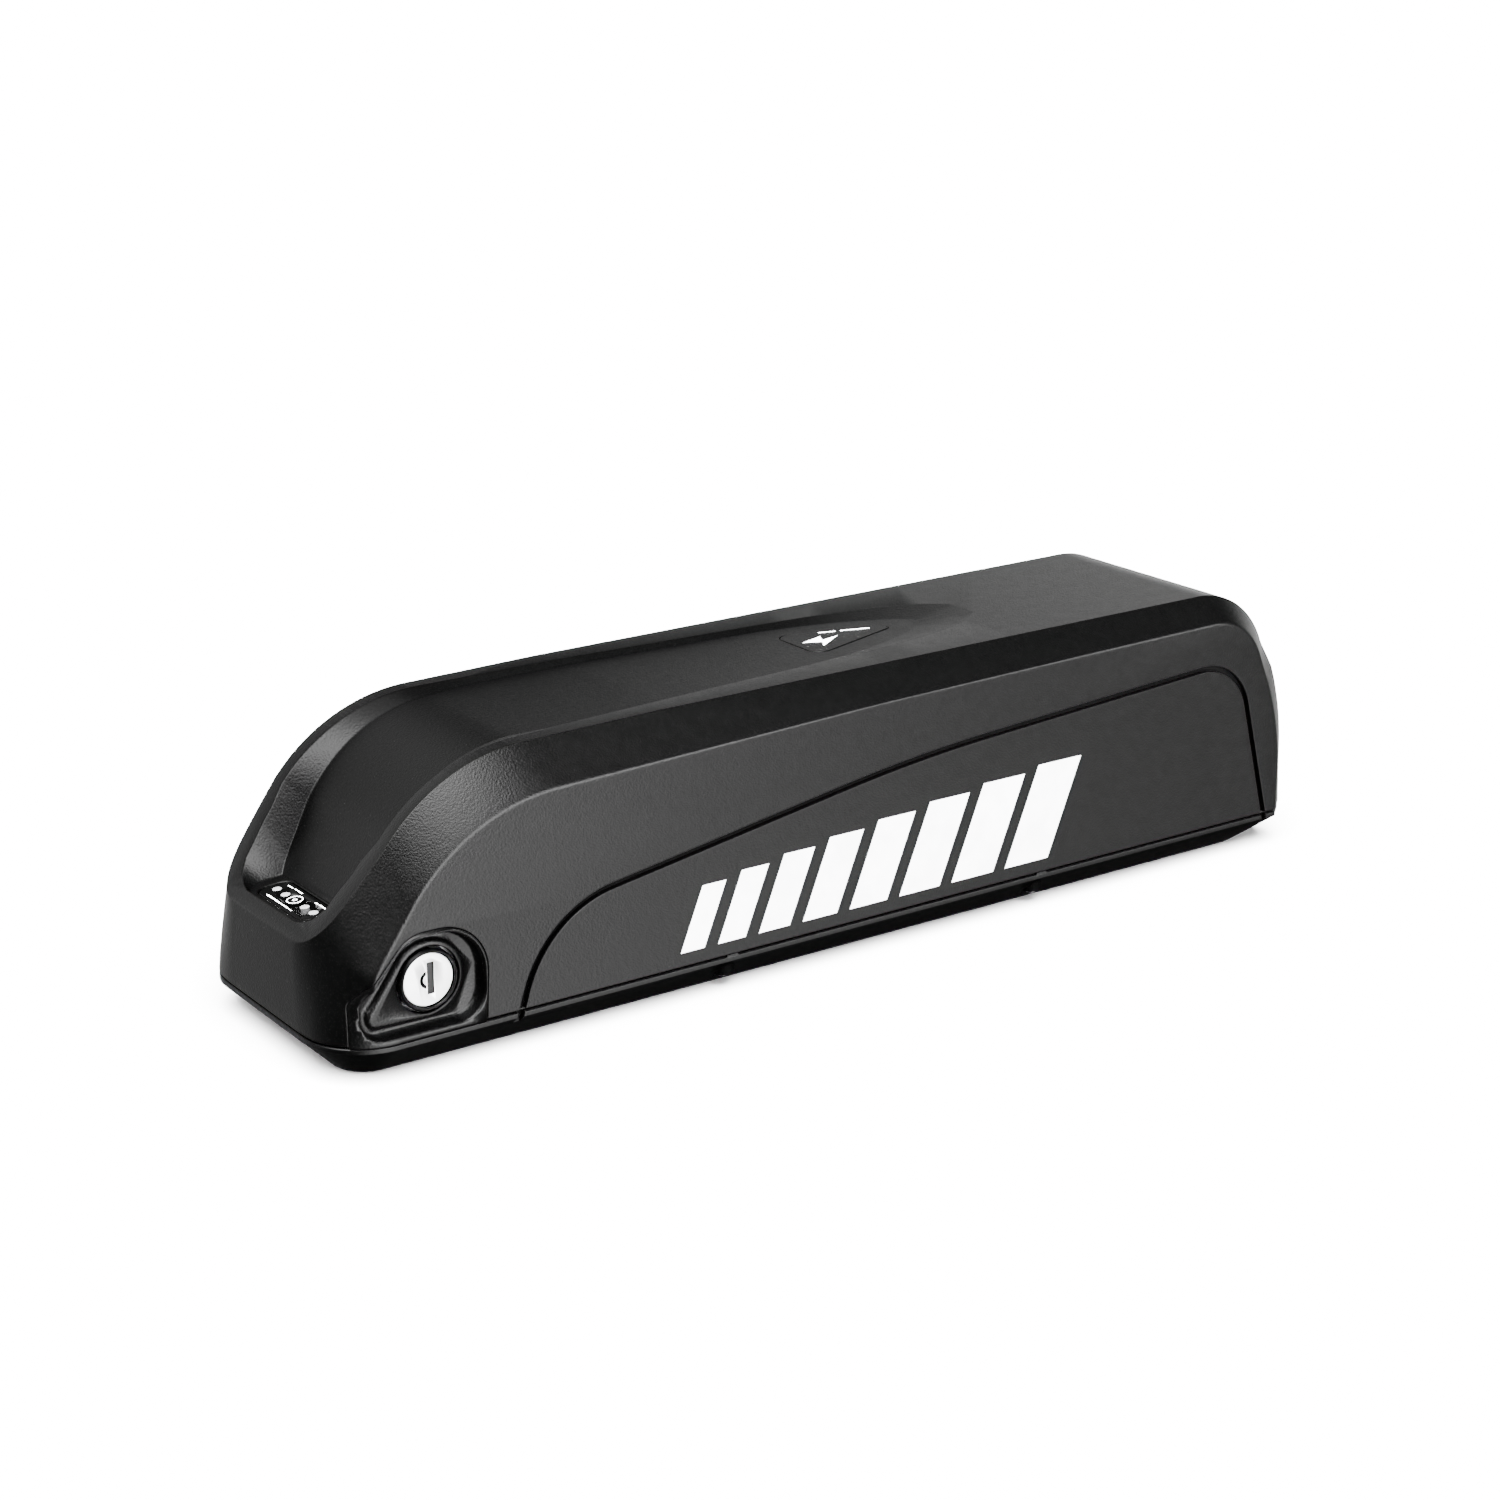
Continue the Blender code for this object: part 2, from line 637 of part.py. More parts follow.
def indicator():
    overlay = overlay_plate("indicator_overlay", 0.0, OVERLAY_LOW - OVERLAY_T)
    cut(overlay, rod("hole", panel_frame(0, 0, 0.003), panel_frame(0, 0, -0.003), BUTTON_R + FIT))
    rod("check_button", panel_frame(0, 0, 0.0048), panel_frame(0, 0, -0.0001), BUTTON_R, "black_plastic")
    board = box("indicator_board", (0.0072, -0.0170, 0.0348), (0.0185, 0.0170, 0.0358), "board")
    for y in LED_YS:
        join(board, box("led", (PANEL_X - 0.0012, y - 0.0012, 0.0355),
                        (PANEL_X + 0.0012, y + 0.0012, 0.0368)))
    return board


# ---------------------------------------------------------------- lock

BOLT_X = 0.0365
BOLT_Y = -0.0130
BOLT_HALF = 0.0025


def lock():
    body = bezel("lock_bezel", -1, RECESS_DEPTH)
    centre = (LOCK_X, LOCK_Z)
    outline = teardrop(centre, PEDESTAL_R, PEDESTAL_TIP[:2], PEDESTAL_TIP[2], 18)
    join(body, side_prism("pedestal", outline, -1, BEZEL_DEPTH - 0.001, PEDESTAL_DEPTH))

    def lock_rod(name, start_y, end_y, radius, slot="steel", sides=24):
        return rod(name, (nose(LOCK_X), start_y, LOCK_Z), (nose(LOCK_X), end_y, LOCK_Z),
                   radius, slot, sides)

    cut(body, lock_rod("bore", -0.046, -0.030, LOCK_RING_R + FIT))
    barrel = lock_rod("lock_barrel", -0.0427, -0.0220, LOCK_RING_R, "black_plastic", 18)
    cut(barrel, lock_rod("bore", -0.044, -0.020, LOCK_FACE_R + FIT))
    nut = lock_rod("lock_nut", -0.0366, -0.0326, 0.0130, "steel", 6)
    cut(nut, lock_rod("bore", -0.038, -0.031, LOCK_RING_R + FIT))
    cylinder = lock_rod("lock_cylinder", LOCK_FACE_Y, -0.0190, LOCK_FACE_R)
    arm_x = LOCK_X + CAM_ARM
    join(cylinder,
         lock_rod("hub", -0.0195, -0.0165, 0.0030, sides=12),
         box("cam_arm", (LOCK_X, -0.0190, LOCK_Z - 0.0012), (arm_x, -0.0168, LOCK_Z + 0.0012)))
    cut(cylinder, box("key_slot", (LOCK_X - 0.0009, -0.0430, LOCK_Z - 0.0035),
                      (LOCK_X + 0.0009, -0.0330, LOCK_Z + 0.0056)))
    set_origin(cylinder, (nose(LOCK_X), LOCK_FACE_Y, LOCK_Z))
    bolt = box("latch_bolt", (BOLT_X - BOLT_HALF, BOLT_Y - BOLT_HALF, CHANNEL_DEPTH + 0.0005),
               (BOLT_X + BOLT_HALF, BOLT_Y + BOLT_HALF, 0.0215), "steel")
    join(bolt, box("plate", (LOCK_X - 0.0020, -0.0186, 0.0205), (BOLT_X + 0.0040, -0.0100, 0.0230)))


# ---------------------------------------------------------------- charge port and switch

CAP_R = 0.0096
CAP_HINGE_Y = 0.0436
CAP_HINGE_Z = 0.0390
SOCKET_BORE_R = 0.0046


def port():
    body = bezel("port_bezel", 1, PORT_RECESS_DEPTH)

    def port_rod(name, start_y, end_y, radius, slot="black_plastic", sides=20):
        return rod(name, (nose(LOCK_X), start_y, LOCK_Z), (nose(LOCK_X), end_y, LOCK_Z),
                   radius, slot, sides)

    cut(body, port_rod("bore", 0.030, 0.046, PORT_R + FIT))
    socket = port_rod("charge_socket", 0.0325, 0.0424, PORT_R)
    cut(socket, port_rod("bore", 0.0345, 0.044, SOCKET_BORE_R, sides=16))
    join(socket, port_rod("pin", 0.0340, 0.0358, 0.0010, sides=8))
    cap = port_rod("charge_cap", 0.0428, 0.0446, CAP_R, "rubber", 24)
    join(cap,
         port_rod("plug", 0.0410, 0.0430, 0.0034, sides=12),
         box("strap", (LOCK_X - 0.0040, 0.0431, LOCK_Z + CAP_R - 0.001),
             (LOCK_X + 0.0040, 0.0443, CAP_HINGE_Z)),
         rod("knuckle", (nose(LOCK_X) - 0.0050, CAP_HINGE_Y, CAP_HINGE_Z),
             (nose(LOCK_X) + 0.0050, CAP_HINGE_Y, CAP_HINGE_Z), 0.0011, sides=10))
    set_origin(cap, (nose(LOCK_X), CAP_HINGE_Y, CAP_HINGE_Z))


SWITCH_HALF_Y = 0.0100
SWITCH_HALF_Z = 0.0072
ROCKER_X = 0.3655
ROCKER_TILT = math.radians(7)


def power_switch():
    body = box("switch_body", (0.3530, -SWITCH_HALF_Y, SWITCH_Z - SWITCH_HALF_Z),
               (0.3692, SWITCH_HALF_Y, SWITCH_Z + SWITCH_HALF_Z), "black_plastic")
    pocket_y = ROCKER_HALF_Y + FIT
    pocket_z = ROCKER_HALF_Z + 0.0009
    cut(body, box("pocket", (0.3600, -pocket_y, SWITCH_Z - pocket_z),
                  (0.3710, pocket_y, SWITCH_Z + pocket_z)))
    outline = closed_outline((
        (0.3628, SWITCH_Z - ROCKER_HALF_Z, 0.0008),
        (0.3628, SWITCH_Z + ROCKER_HALF_Z, 0.0008),
        (0.3688, SWITCH_Z + ROCKER_HALF_Z, 0.0008),
        (0.3676, SWITCH_Z, 0.0060),
        (0.3688, SWITCH_Z - ROCKER_HALF_Z, 0.0008)), 3)
    rocker = prism("switch_rocker", outline, -ROCKER_HALF_Y, ROCKER_HALF_Y, "black_plastic")
    set_origin(rocker, (nose(ROCKER_X), 0, SWITCH_Z))
    rocker.data.transform(Matrix.Rotation(ROCKER_TILT, 4, "Y"))


# ---------------------------------------------------------------- discharge connector

ENTRY_XS = (0.070, 0.190, 0.300)
ENTRY_LENGTH = 0.014
CONTACT_Y = 0.006
LEG_X = 0.3430


def connector():
    front = CHANNEL_END - FIT - CONNECTOR_LENGTH
    back = CHANNEL_END - FIT
    housing = box("discharge_connector", (front, -0.0124, 0.0006), (back, 0.0124, 0.0072), "black_plastic")
    cut(housing, box("pocket", (front - 0.001, -0.0108, 0.0018), (LEG_X - 0.0020, 0.0108, 0.0061)))
    for side, name in ((-1, "contact_negative"), (1, "contact_positive")):
        y = side * CONTACT_Y
        cut(housing,
            box("blade_slot", (LEG_X - 0.003, y - 0.0008, 0.0029), (LEG_X + 0.0018, y + 0.0008, 0.0051)),
            box("leg_slot", (LEG_X - 0.0003, y - 0.0008, 0.0029), (LEG_X + 0.0018, y + 0.0008, 0.0080)))
        contact = box(name, (front + 0.003, y - 0.0005, 0.0032),
                      (LEG_X + 0.0015, y + 0.0005, 0.0048), "brass")
        join(contact, box("leg", (LEG_X, y - 0.0005, 0.0040), (LEG_X + 0.0015, y + 0.0005, 0.0128)))


# ---------------------------------------------------------------- cells, holders, strips

def column_x(column):
    return CELL_FIRST_X + column * CELL_PITCH


CELL_STEP_Z = 2 * CELL_R - 0.0002


def cell_groups():
    for column in range(CELL_COLUMNS):
        name = f"cell_group_{column + 1:02d}"
        x = nose(column_x(column))
        group = None
        for row in range(CELL_ROWS):
            z = CELL_BASE_Z + CELL_R + row * CELL_STEP_Z
            cell = rod(name, (x, -CELL_LENGTH / 2, z), (x, CELL_LENGTH / 2, z), CELL_R, "cell", 16)
            group = cell if group is None else join(group, cell)
        group.name = name


HOLDER_INNER_Y = 0.0295
WINDOW_R = 0.0090


def cell_holders():
    low = CELL_BASE_Z - 0.0013
    high = CELL_BASE_Z + 2 * CELL_R + (CELL_ROWS - 1) * CELL_STEP_Z + 0.0018
    outline = closed_outline((
        (column_x(0) - CELL_R - 0.0022, low, 0.003),
        (column_x(0) - CELL_R - 0.0022, high, 0.012),
        (column_x(CELL_COLUMNS - 1) + CELL_R + 0.0022, high, 0.012),
        (column_x(CELL_COLUMNS - 1) + CELL_R + 0.0022, low, 0.003)), 4)
    half = CELL_R + FIT
    window_low = CELL_BASE_Z - FIT
    window_high = high - 0.0018 + FIT
    for side, name in ((-1, "cell_holder_right"), (1, "cell_holder_left")):
        ys = sorted((side * HOLDER_INNER_Y, side * CELL_LENGTH / 2))
        holder = prism(name, outline, ys[0], ys[1], "holder")
        for column in range(CELL_COLUMNS):
            x = column_x(column)
            window = closed_outline((
                (x - half, window_low, WINDOW_R), (x - half, window_high, WINDOW_R),
                (x + half, window_high, WINDOW_R), (x + half, window_low, WINDOW_R)), 4)
            cut(holder, prism("window", window, ys[0] - 0.001, ys[1] + 0.001))


def strip_groups(first):
    """Pairs of neighbouring columns, starting with `first` columns in the first group."""
    groups = [list(range(first))] if first else []
    column = first
    while column < CELL_COLUMNS:
        groups.append(list(range(column, min(column + 2, CELL_COLUMNS))))
        column += 2
    return groups


def nickel_strips():
    low = CELL_BASE_Z + 0.005
    high = CELL_BASE_Z + 2 * CELL_R + (CELL_ROWS - 1) * CELL_STEP_Z - 0.005
    for side, word, first in ((-1, "right", 0), (1, "left", 1)):
        inner = side * (CELL_LENGTH / 2 + FIT)
        outer = inner + side * STRIP_T
        for number, columns in enumerate(strip_groups(first), start=1):
            x_low = column_x(columns[0]) - 0.007
            x_high = column_x(columns[-1]) + 0.007
            box(f"nickel_strip_{word}_{number}", (x_low, min(inner, outer), low),
                (x_high, max(inner, outer), high), "nickel")


# ---------------------------------------------------------------- board, leads, foam

def electronics():
    board = box("bms_board", (0.0550, -0.0300, 0.0145), (0.0566, 0.0300, 0.0700), "board")
    for y in (-0.022, -0.011, 0.0, 0.011, 0.022):
        join(board, box("transistor", (0.0535, y - 0.0035, 0.0190), (0.0555, y + 0.0035, 0.0260)))
    sink = box("bms_heatsink", (0.0515, -0.0240, 0.0300), (0.0547, 0.0240, 0.0600), "aluminium")
    for k in range(5):
        z = 0.0330 + k * 0.0055
        cut(sink, box("fin_gap", (0.0505, -0.0250, z), (0.0535, 0.0250, z + 0.0025)))
    top = CELL_BASE_Z + 2 * CELL_R + (CELL_ROWS - 1) * CELL_STEP_Z
    box("foam_pad", (0.0950, -0.0280, top + FIT), (0.3250, 0.0280, top + 0.0055), "foam")


LEAD_R = 0.0014


def lead(name, side, slot):
    """An insulated lead from the connector's leg, along the trough, to the board."""
    y = side * CONTACT_Y
    route = [
        Vector((nose(LEG_X - 0.0022), y, 0.0117)),
        Vector((nose(LEG_X - 0.0040), y + side * 0.004, 0.0117)),
        Vector((nose(LEG_X - 0.0080), side * 0.0205, 0.0115)),
        Vector((nose(LEG_X - 0.0180), side * 0.0262, 0.0075)),
        Vector((nose(0.2800), side * 0.0268, 0.0060)),
        Vector((nose(0.1900), side * 0.0262, 0.0060)),
        Vector((nose(0.1000), side * 0.0268, 0.0060)),
        Vector((nose(0.0640), side * 0.0262, 0.0075)),
        Vector((nose(0.0580), side * 0.0240, 0.0105)),
        Vector((nose(0.0560), side * 0.0230, 0.0138)),
    ]
    points = []
    for i in range(len(route) - 1):
        before = route[max(i - 1, 0)]
        after = route[min(i + 2, len(route) - 1)]
        for k in range(4):
            t = k / 4
            points.append(0.5 * (
                2 * route[i] + (route[i + 1] - before) * t
                + (2 * before - 5 * route[i] + 4 * route[i + 1] - after) * t * t
                + (3 * route[i] - before - 3 * route[i + 1] + after) * t ** 3))
    points.append(route[-1])
    curve = bpy.data.curves.new(name, "CURVE")
    curve.dimensions = "3D"
    curve.bevel_depth = LEAD_R
    curve.bevel_resolution = 2
    curve.use_fill_caps = True
    spline = curve.splines.new("POLY")
    spline.points.add(len(points) - 1)
    for place, point in zip(spline.points, points):
        place.co = (*point, 1.0)
    curve.materials.append(material(slot))
    obj = bpy.data.objects.new(name, curve)
    bpy.context.collection.objects.link(obj)


def build():
    clear_scene()
    upper_shell()
    lower_shell()
    shell_gasket()
    shell_screws()
    badge_plate("badge", 0.0, BADGE_Z + BADGE_T)
    indicator()
    lock()
    port()
    power_switch()
    connector()
    cell_groups()
    cell_holders()
    nickel_strips()
    electronics()
    lead("lead_negative", -1, "black_plastic")
    lead("lead_positive", 1, "red_lead")


build()
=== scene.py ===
import json
import math

import bmesh
import bpy
from mathutils import Matrix, Vector

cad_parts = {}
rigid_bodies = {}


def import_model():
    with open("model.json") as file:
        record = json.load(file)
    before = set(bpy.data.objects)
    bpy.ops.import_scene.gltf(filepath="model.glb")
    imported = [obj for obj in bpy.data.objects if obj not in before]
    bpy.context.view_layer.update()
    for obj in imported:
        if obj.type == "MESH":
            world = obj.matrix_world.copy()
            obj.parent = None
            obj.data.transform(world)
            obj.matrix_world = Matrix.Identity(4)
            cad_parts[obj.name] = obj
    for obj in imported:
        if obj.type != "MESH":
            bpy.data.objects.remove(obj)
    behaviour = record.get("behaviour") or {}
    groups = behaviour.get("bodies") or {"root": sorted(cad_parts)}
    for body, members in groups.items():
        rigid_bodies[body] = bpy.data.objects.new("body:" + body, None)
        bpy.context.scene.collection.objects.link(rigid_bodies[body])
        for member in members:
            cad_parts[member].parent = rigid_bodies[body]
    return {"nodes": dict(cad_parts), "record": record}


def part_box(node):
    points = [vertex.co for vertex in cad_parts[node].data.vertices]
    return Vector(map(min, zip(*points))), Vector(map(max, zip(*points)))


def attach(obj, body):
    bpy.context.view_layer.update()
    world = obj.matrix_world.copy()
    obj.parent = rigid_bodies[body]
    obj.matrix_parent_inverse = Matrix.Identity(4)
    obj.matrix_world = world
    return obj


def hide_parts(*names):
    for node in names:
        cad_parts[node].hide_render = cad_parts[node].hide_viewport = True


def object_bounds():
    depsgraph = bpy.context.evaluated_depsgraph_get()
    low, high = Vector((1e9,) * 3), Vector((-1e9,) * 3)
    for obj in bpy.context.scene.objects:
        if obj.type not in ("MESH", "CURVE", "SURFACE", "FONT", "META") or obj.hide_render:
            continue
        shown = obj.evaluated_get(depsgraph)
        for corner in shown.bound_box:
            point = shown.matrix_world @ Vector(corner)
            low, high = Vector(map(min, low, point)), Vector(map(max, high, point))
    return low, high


for leftover in list(bpy.data.objects):
    bpy.data.objects.remove(leftover, do_unlink=True)
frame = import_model()
CAD_LOW, CAD_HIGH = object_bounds()

# Distances are in metres. Profile points are measured from the nose and from the floor.
NOSE = CAD_LOW.x
# Height of the printed bars above the case
PRINT = 0.00005
HALF_WIDTH = (CAD_HIGH.y - CAD_LOW.y) / 2 - PRINT
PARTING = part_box("upper_shell")[0].z
LOWER_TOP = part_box("lower_shell")[1].z - 0.0005
WALL = 0.0028
# Gap round a piece that sits in a pocket or a hole
FIT = 0.0003
# Points closer than this are joined
MERGE = 0.000001
LOCK = (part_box("lock_cylinder")[0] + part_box("lock_cylinder")[1]) / 2
LOCK_FACE_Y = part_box("lock_cylinder")[0].y
LOCK_X = LOCK.x - NOSE
LOCK_Z = LOCK.z


# ---------------------------------------------------------------- materials

class Shader:
    """Builds one node material step by step."""

    def __init__(self, name, colour, roughness, metallic=0.0):
        self.material = bpy.data.materials.new(name)
        self.material.use_nodes = True
        self.nodes = self.material.node_tree.nodes
        self.links = self.material.node_tree.links
        self.body = self.nodes["Principled BSDF"]
        self.body.inputs["Metallic"].default_value = metallic
        self.coords = self.nodes.new("ShaderNodeTexCoord")
        self.mottle(colour, roughness)
        self.normal = None

    def noise(self, scale, detail=3.0, roughness=0.6, stretch=None):
        texture = self.nodes.new("ShaderNodeTexNoise")
        texture.inputs["Scale"].default_value = scale
        texture.inputs["Detail"].default_value = detail
        texture.inputs["Roughness"].default_value = roughness
        source = self.coords.outputs["Object"]
        if stretch:
            mapping = self.nodes.new("ShaderNodeMapping")
            mapping.inputs["Scale"].default_value = stretch
            self.links.new(source, mapping.inputs["Vector"])
            source = mapping.outputs["Vector"]
        self.links.new(source, texture.inputs["Vector"])
        return texture.outputs["Fac"]

    def remap(self, value, low, high, out_low, out_high):
        node = self.nodes.new("ShaderNodeMapRange")
        node.inputs["From Min"].default_value = low
        node.inputs["From Max"].default_value = high
        node.inputs["To Min"].default_value = out_low
        node.inputs["To Max"].default_value = out_high
        self.links.new(value, node.inputs["Value"])
        return node.outputs["Result"]

    def mottle(self, colour, roughness, spread=0.10):
        """A faint cloudy change of colour and roughness over the surface."""
        ramp = self.nodes.new("ShaderNodeValToRGB")
        dark = [c * (1 - spread) for c in colour] + [1.0]
        light = [min(c * (1 + spread), 1.0) for c in colour] + [1.0]
        ramp.color_ramp.elements[0].position = 0.35
        ramp.color_ramp.elements[1].position = 0.65
        ramp.color_ramp.elements[0].color = dark
        ramp.color_ramp.elements[1].color = light
        cloud = self.noise(60.0)
        self.links.new(cloud, ramp.inputs["Fac"])
        self.links.new(ramp.outputs["Color"], self.body.inputs["Base Color"])
        rough = self.remap(self.noise(220.0), 0.3, 0.7, roughness * 0.94, roughness * 1.06)
        self.links.new(rough, self.body.inputs["Roughness"])

    def soften(self, radius):
        """Round the sharp edges by a small radius."""
        node = self.nodes.new("ShaderNodeBevel")
        node.samples = 6
        node.inputs["Radius"].default_value = radius
        self.normal = node.outputs["Normal"]
        self.links.new(self.normal, self.body.inputs["Normal"])
        return self

    def grain(self, scale, depth, strength=1.0, stretch=None, detail=2.0):
        """Raise the surface by a fine noise."""
        bump = self.nodes.new("ShaderNodeBump")
        bump.inputs["Strength"].default_value = strength
        bump.inputs["Distance"].default_value = depth
        self.links.new(self.noise(scale, detail, 0.5, stretch), bump.inputs["Height"])
        if self.normal:
            self.links.new(self.normal, bump.inputs["Normal"])
        self.normal = bump.outputs["Normal"]
        self.links.new(self.normal, self.body.inputs["Normal"])
        return self

    def sheen(self, value):
        """How strongly the surface mirrors its surroundings head on."""
        self.body.inputs["Specular IOR Level"].default_value = value
        return self


def grey(value):
    """A neutral colour with a trace of blue."""
    return (value, value, value * 1.01)


# Specular level of the moulded case, its scoop, the black trim and the underside; the underside's reflection
# is cut almost away as painted shade
SHEEN = 0.25
SCOOP_SHEEN = 0.18
TRIM_SHEEN = 0.12
UNDER_SHADE_SHEEN = 0.02
CASE_GREY = 0.00012
TRIM_GREY = 0.0002


def make_materials():
    """Every material by the name that the pieces use."""
    looks = {
        "shell": Shader("moulded_shell", grey(CASE_GREY), 0.30).soften(0.0004)
        .grain(1700.0, 0.00009).sheen(SHEEN),
        "shell_smooth": Shader("scoop_shell", grey(CASE_GREY), 0.30).soften(0.0002)
        .grain(1700.0, 0.00009).sheen(SCOOP_SHEEN),
        "insert": Shader("lock_insert", grey(CASE_GREY), 0.30).soften(0.0002)
        .grain(1700.0, 0.00012).sheen(SHEEN),
        # The underside is the moulded plastic again, made rougher and almost without reflection: painted
        # shade under the case
        "under": Shader("under_shell_painted_shade", grey(TRIM_GREY), 0.60)
        .grain(2600.0, 0.00004).sheen(UNDER_SHADE_SHEEN),
        "black": Shader("black_plastic", grey(TRIM_GREY), 0.32).soften(0.00012)
        .grain(1500.0, 0.00001).sheen(TRIM_SHEEN),
        "gloss": Shader("gloss_black", grey(TRIM_GREY), 0.14).soften(0.00010)
        .grain(700.0, 0.000004).sheen(TRIM_SHEEN),
        "rubber": Shader("black_rubber", grey(0.0012), 0.75).grain(1800.0, 0.00003),
        "ink": Shader("white_ink", grey(0.86), 0.45).grain(2600.0, 0.00002),
        "lamp": Shader("lamp_lens", grey(0.16), 0.28).grain(1200.0, 0.00001),
        "lock_face": Shader("lock_face", grey(0.82), 0.32, 0.55).soften(0.00012)
        .grain(1500.0, 0.000006, stretch=(6.0, 1.0, 0.3)),
        "steel": Shader("bright_steel", grey(0.62), 0.30, 1.0).soften(0.0001)
        .grain(900.0, 0.000006, stretch=(8.0, 1.0, 1.0)),
        "iron": Shader("dark_steel", grey(0.030), 0.35, 1.0)
        .grain(900.0, 0.00001, stretch=(8.0, 1.0, 1.0)),
        "nickel": Shader("nickel_strip", (0.60, 0.58, 0.54), 0.32, 1.0).grain(700.0, 0.00001),
        "brass": Shader("plated_brass", (0.78, 0.57, 0.22), 0.28, 1.0).soften(0.0001).grain(900.0, 0.000005),
        "cell": Shader("cell_sleeve", (0.03, 0.16, 0.30), 0.32).grain(300.0, 0.00002),
        "holder": Shader("cell_holder", grey(0.05), 0.55).grain(1500.0, 0.00003),
        "board": Shader("green_board", (0.006, 0.10, 0.035), 0.35).grain(1200.0, 0.00002),
        "aluminium": Shader("finned_aluminium", grey(0.55), 0.38, 1.0)
        .grain(600.0, 0.00001, stretch=(1.0, 0.1, 6.0)),
        "red_lead": Shader("red_lead", (0.42, 0.012, 0.010), 0.40).grain(900.0, 0.00001),
        "foam": Shader("grey_foam", grey(0.07), 0.95).grain(1100.0, 0.0002),
    }
    return {name: look.material for name, look in looks.items()}


MATERIALS = make_materials()


# ---------------------------------------------------------------- mesh helpers

def nose(x):
    """The world x of a distance from the nose."""
    return x + NOSE


def new_object(name, bm, look, sharp=32):
    bmesh.ops.remove_doubles(bm, verts=bm.verts, dist=MERGE)
    bmesh.ops.recalc_face_normals(bm, faces=bm.faces)
    mesh = bpy.data.meshes.new(name)
    bm.to_mesh(mesh)
    bm.free()
    mesh.materials.append(MATERIALS[look])
    obj = bpy.data.objects.new(name, mesh)
    bpy.context.scene.collection.objects.link(obj)
    shade(obj, sharp)
    return obj


def shade(obj, sharp=32):
    obj.data.shade_smooth()
    obj.data.set_sharp_from_angle(angle=math.radians(sharp))


def combine(obj, operation, *others):
    """Apply a Boolean with each of the others and remove them."""
    for other in others:
        modifier = obj.modifiers.new("cut", "BOOLEAN")
        modifier.operation = operation
        modifier.object = other
        modifier.solver = "EXACT"
        modifier.material_mode = "TRANSFER"
        graph = bpy.context.evaluated_depsgraph_get()
        mesh = bpy.data.meshes.new_from_object(obj.evaluated_get(graph))
        obj.modifiers.clear()
        obj.data = mesh
        bpy.data.objects.remove(other, do_unlink=True)
    return obj


def cut(obj, *others):
    return combine(obj, "DIFFERENCE", *others)


def join(obj, *others):
    return combine(obj, "UNION", *others)


def lerp(a, b, t):
    return a + (b - a) * t


def rounded(corners, steps):
    """Points along (a, b, radius) corners; steps is the number of pieces in each arc."""
    points = []
    last = len(corners) - 1
    for i, (a, b, radius) in enumerate(corners):
        corner = Vector((a, b))
        count = steps[i] if isinstance(steps, (list, tuple)) else steps
        if radius == 0 or i in (0, last):
            points.append(corner)
            continue
        back = (Vector(corners[i - 1][:2]) - corner).normalized()
        ahead = (Vector(corners[i + 1][:2]) - corner).normalized()
        half = back.angle(ahead) / 2
        centre = corner + (back + ahead).normalized() * (radius / math.sin(half))
        reach = radius / math.tan(half)
        first = corner + back * reach - centre
        final = corner + ahead * reach - centre
        sweep = first.angle_signed(final)
        for k in range(count + 1):
            arm = first.copy()
            arm.rotate(Matrix.Rotation(-sweep * k / count, 2))
            points.append(centre + arm)
    return points


def closed_outline(corners, steps):
    """The points of a closed outline of (a, b, radius) corners."""
    ring = [corners[-1]] + list(corners) + [corners[0]]
    return rounded(ring, steps)[1:-1]


def grow(corners, amount):
    """A closed clockwise outline of (a, b, radius) moved outwards by amount."""
    grown = []
    count = len(corners)
    for i, (a, b, radius) in enumerate(corners):
        here = Vector((a, b))
        back = (here - Vector(corners[i - 1][:2])).normalized()
        ahead = (Vector(corners[(i + 1) % count][:2]) - here).normalized()
        out = Vector((-back.y, back.x)) + Vector((-ahead.y, ahead.x))
        moved = here + out / (1 + back.dot(ahead)) * amount
        grown.append((moved.x, moved.y, max(radius + amount, 0.0002)))
    return grown


def loft(name, rows, look, sharp=32, caps=True):
    """Skin closed rings of points; the first and last are capped."""
    bm = bmesh.new()
    rings = [[bm.verts.new(p) for p in row] for row in rows]
    for ring, following in zip(rings, rings[1:]):
        count = len(ring)
        for i in range(count):
            k = (i + 1) % count
            bm.faces.new((ring[i], ring[k], following[k], following[i]))
    if caps:
        bm.faces.new(list(reversed(rings[0])))
        bm.faces.new(rings[-1])
    return new_object(name, bm, look, sharp)


def side_loft(name, levels, side, look, sharp=32):
    """Skin outlines of (x, z) points, each at a depth behind the flat side of the case."""
    rows = []
    for outline, depth in levels:
        rows.append([(nose(x), side * (HALF_WIDTH - depth), z) for x, z in outline])
    return loft(name, rows, look, sharp)


def box(name, low, high, look):
    """A block between two corners whose x is measured from the nose."""
    low = Vector((nose(low[0]), low[1], low[2]))
    high = Vector((nose(high[0]), high[1], high[2]))
    bm = bmesh.new()
    bmesh.ops.create_cube(bm, size=1.0)
    bmesh.ops.scale(bm, vec=high - low, verts=bm.verts)
    bmesh.ops.translate(bm, vec=(low + high) / 2, verts=bm.verts)
    return new_object(name, bm, look)


def turned(name, profile, centre, axis, look, sides=96, sharp=32):
    """A solid of revolution from (distance along axis, radius) points."""
    axis = Vector(axis).normalized()
    across = axis.orthogonal().normalized()
    other = axis.cross(across)
    rows = []
    for along, radius in profile:
        middle = Vector(centre) + axis * along
        rows.append([
            middle + (across * math.cos(a) + other * math.sin(a)) * radius
            for a in (2 * math.pi * k / sides for k in range(sides))])
    return loft(name, rows, look, sharp)


def bezier(a, b, c, steps):
    """Points of the curve from a to c pulled towards b."""
    points = []
    for k in range(steps + 1):
        t = k / steps
        points.append(a * (1 - t) ** 2 + b * (2 * t * (1 - t)) + c * t ** 2)
    return points


# ---------------------------------------------------------------- case form

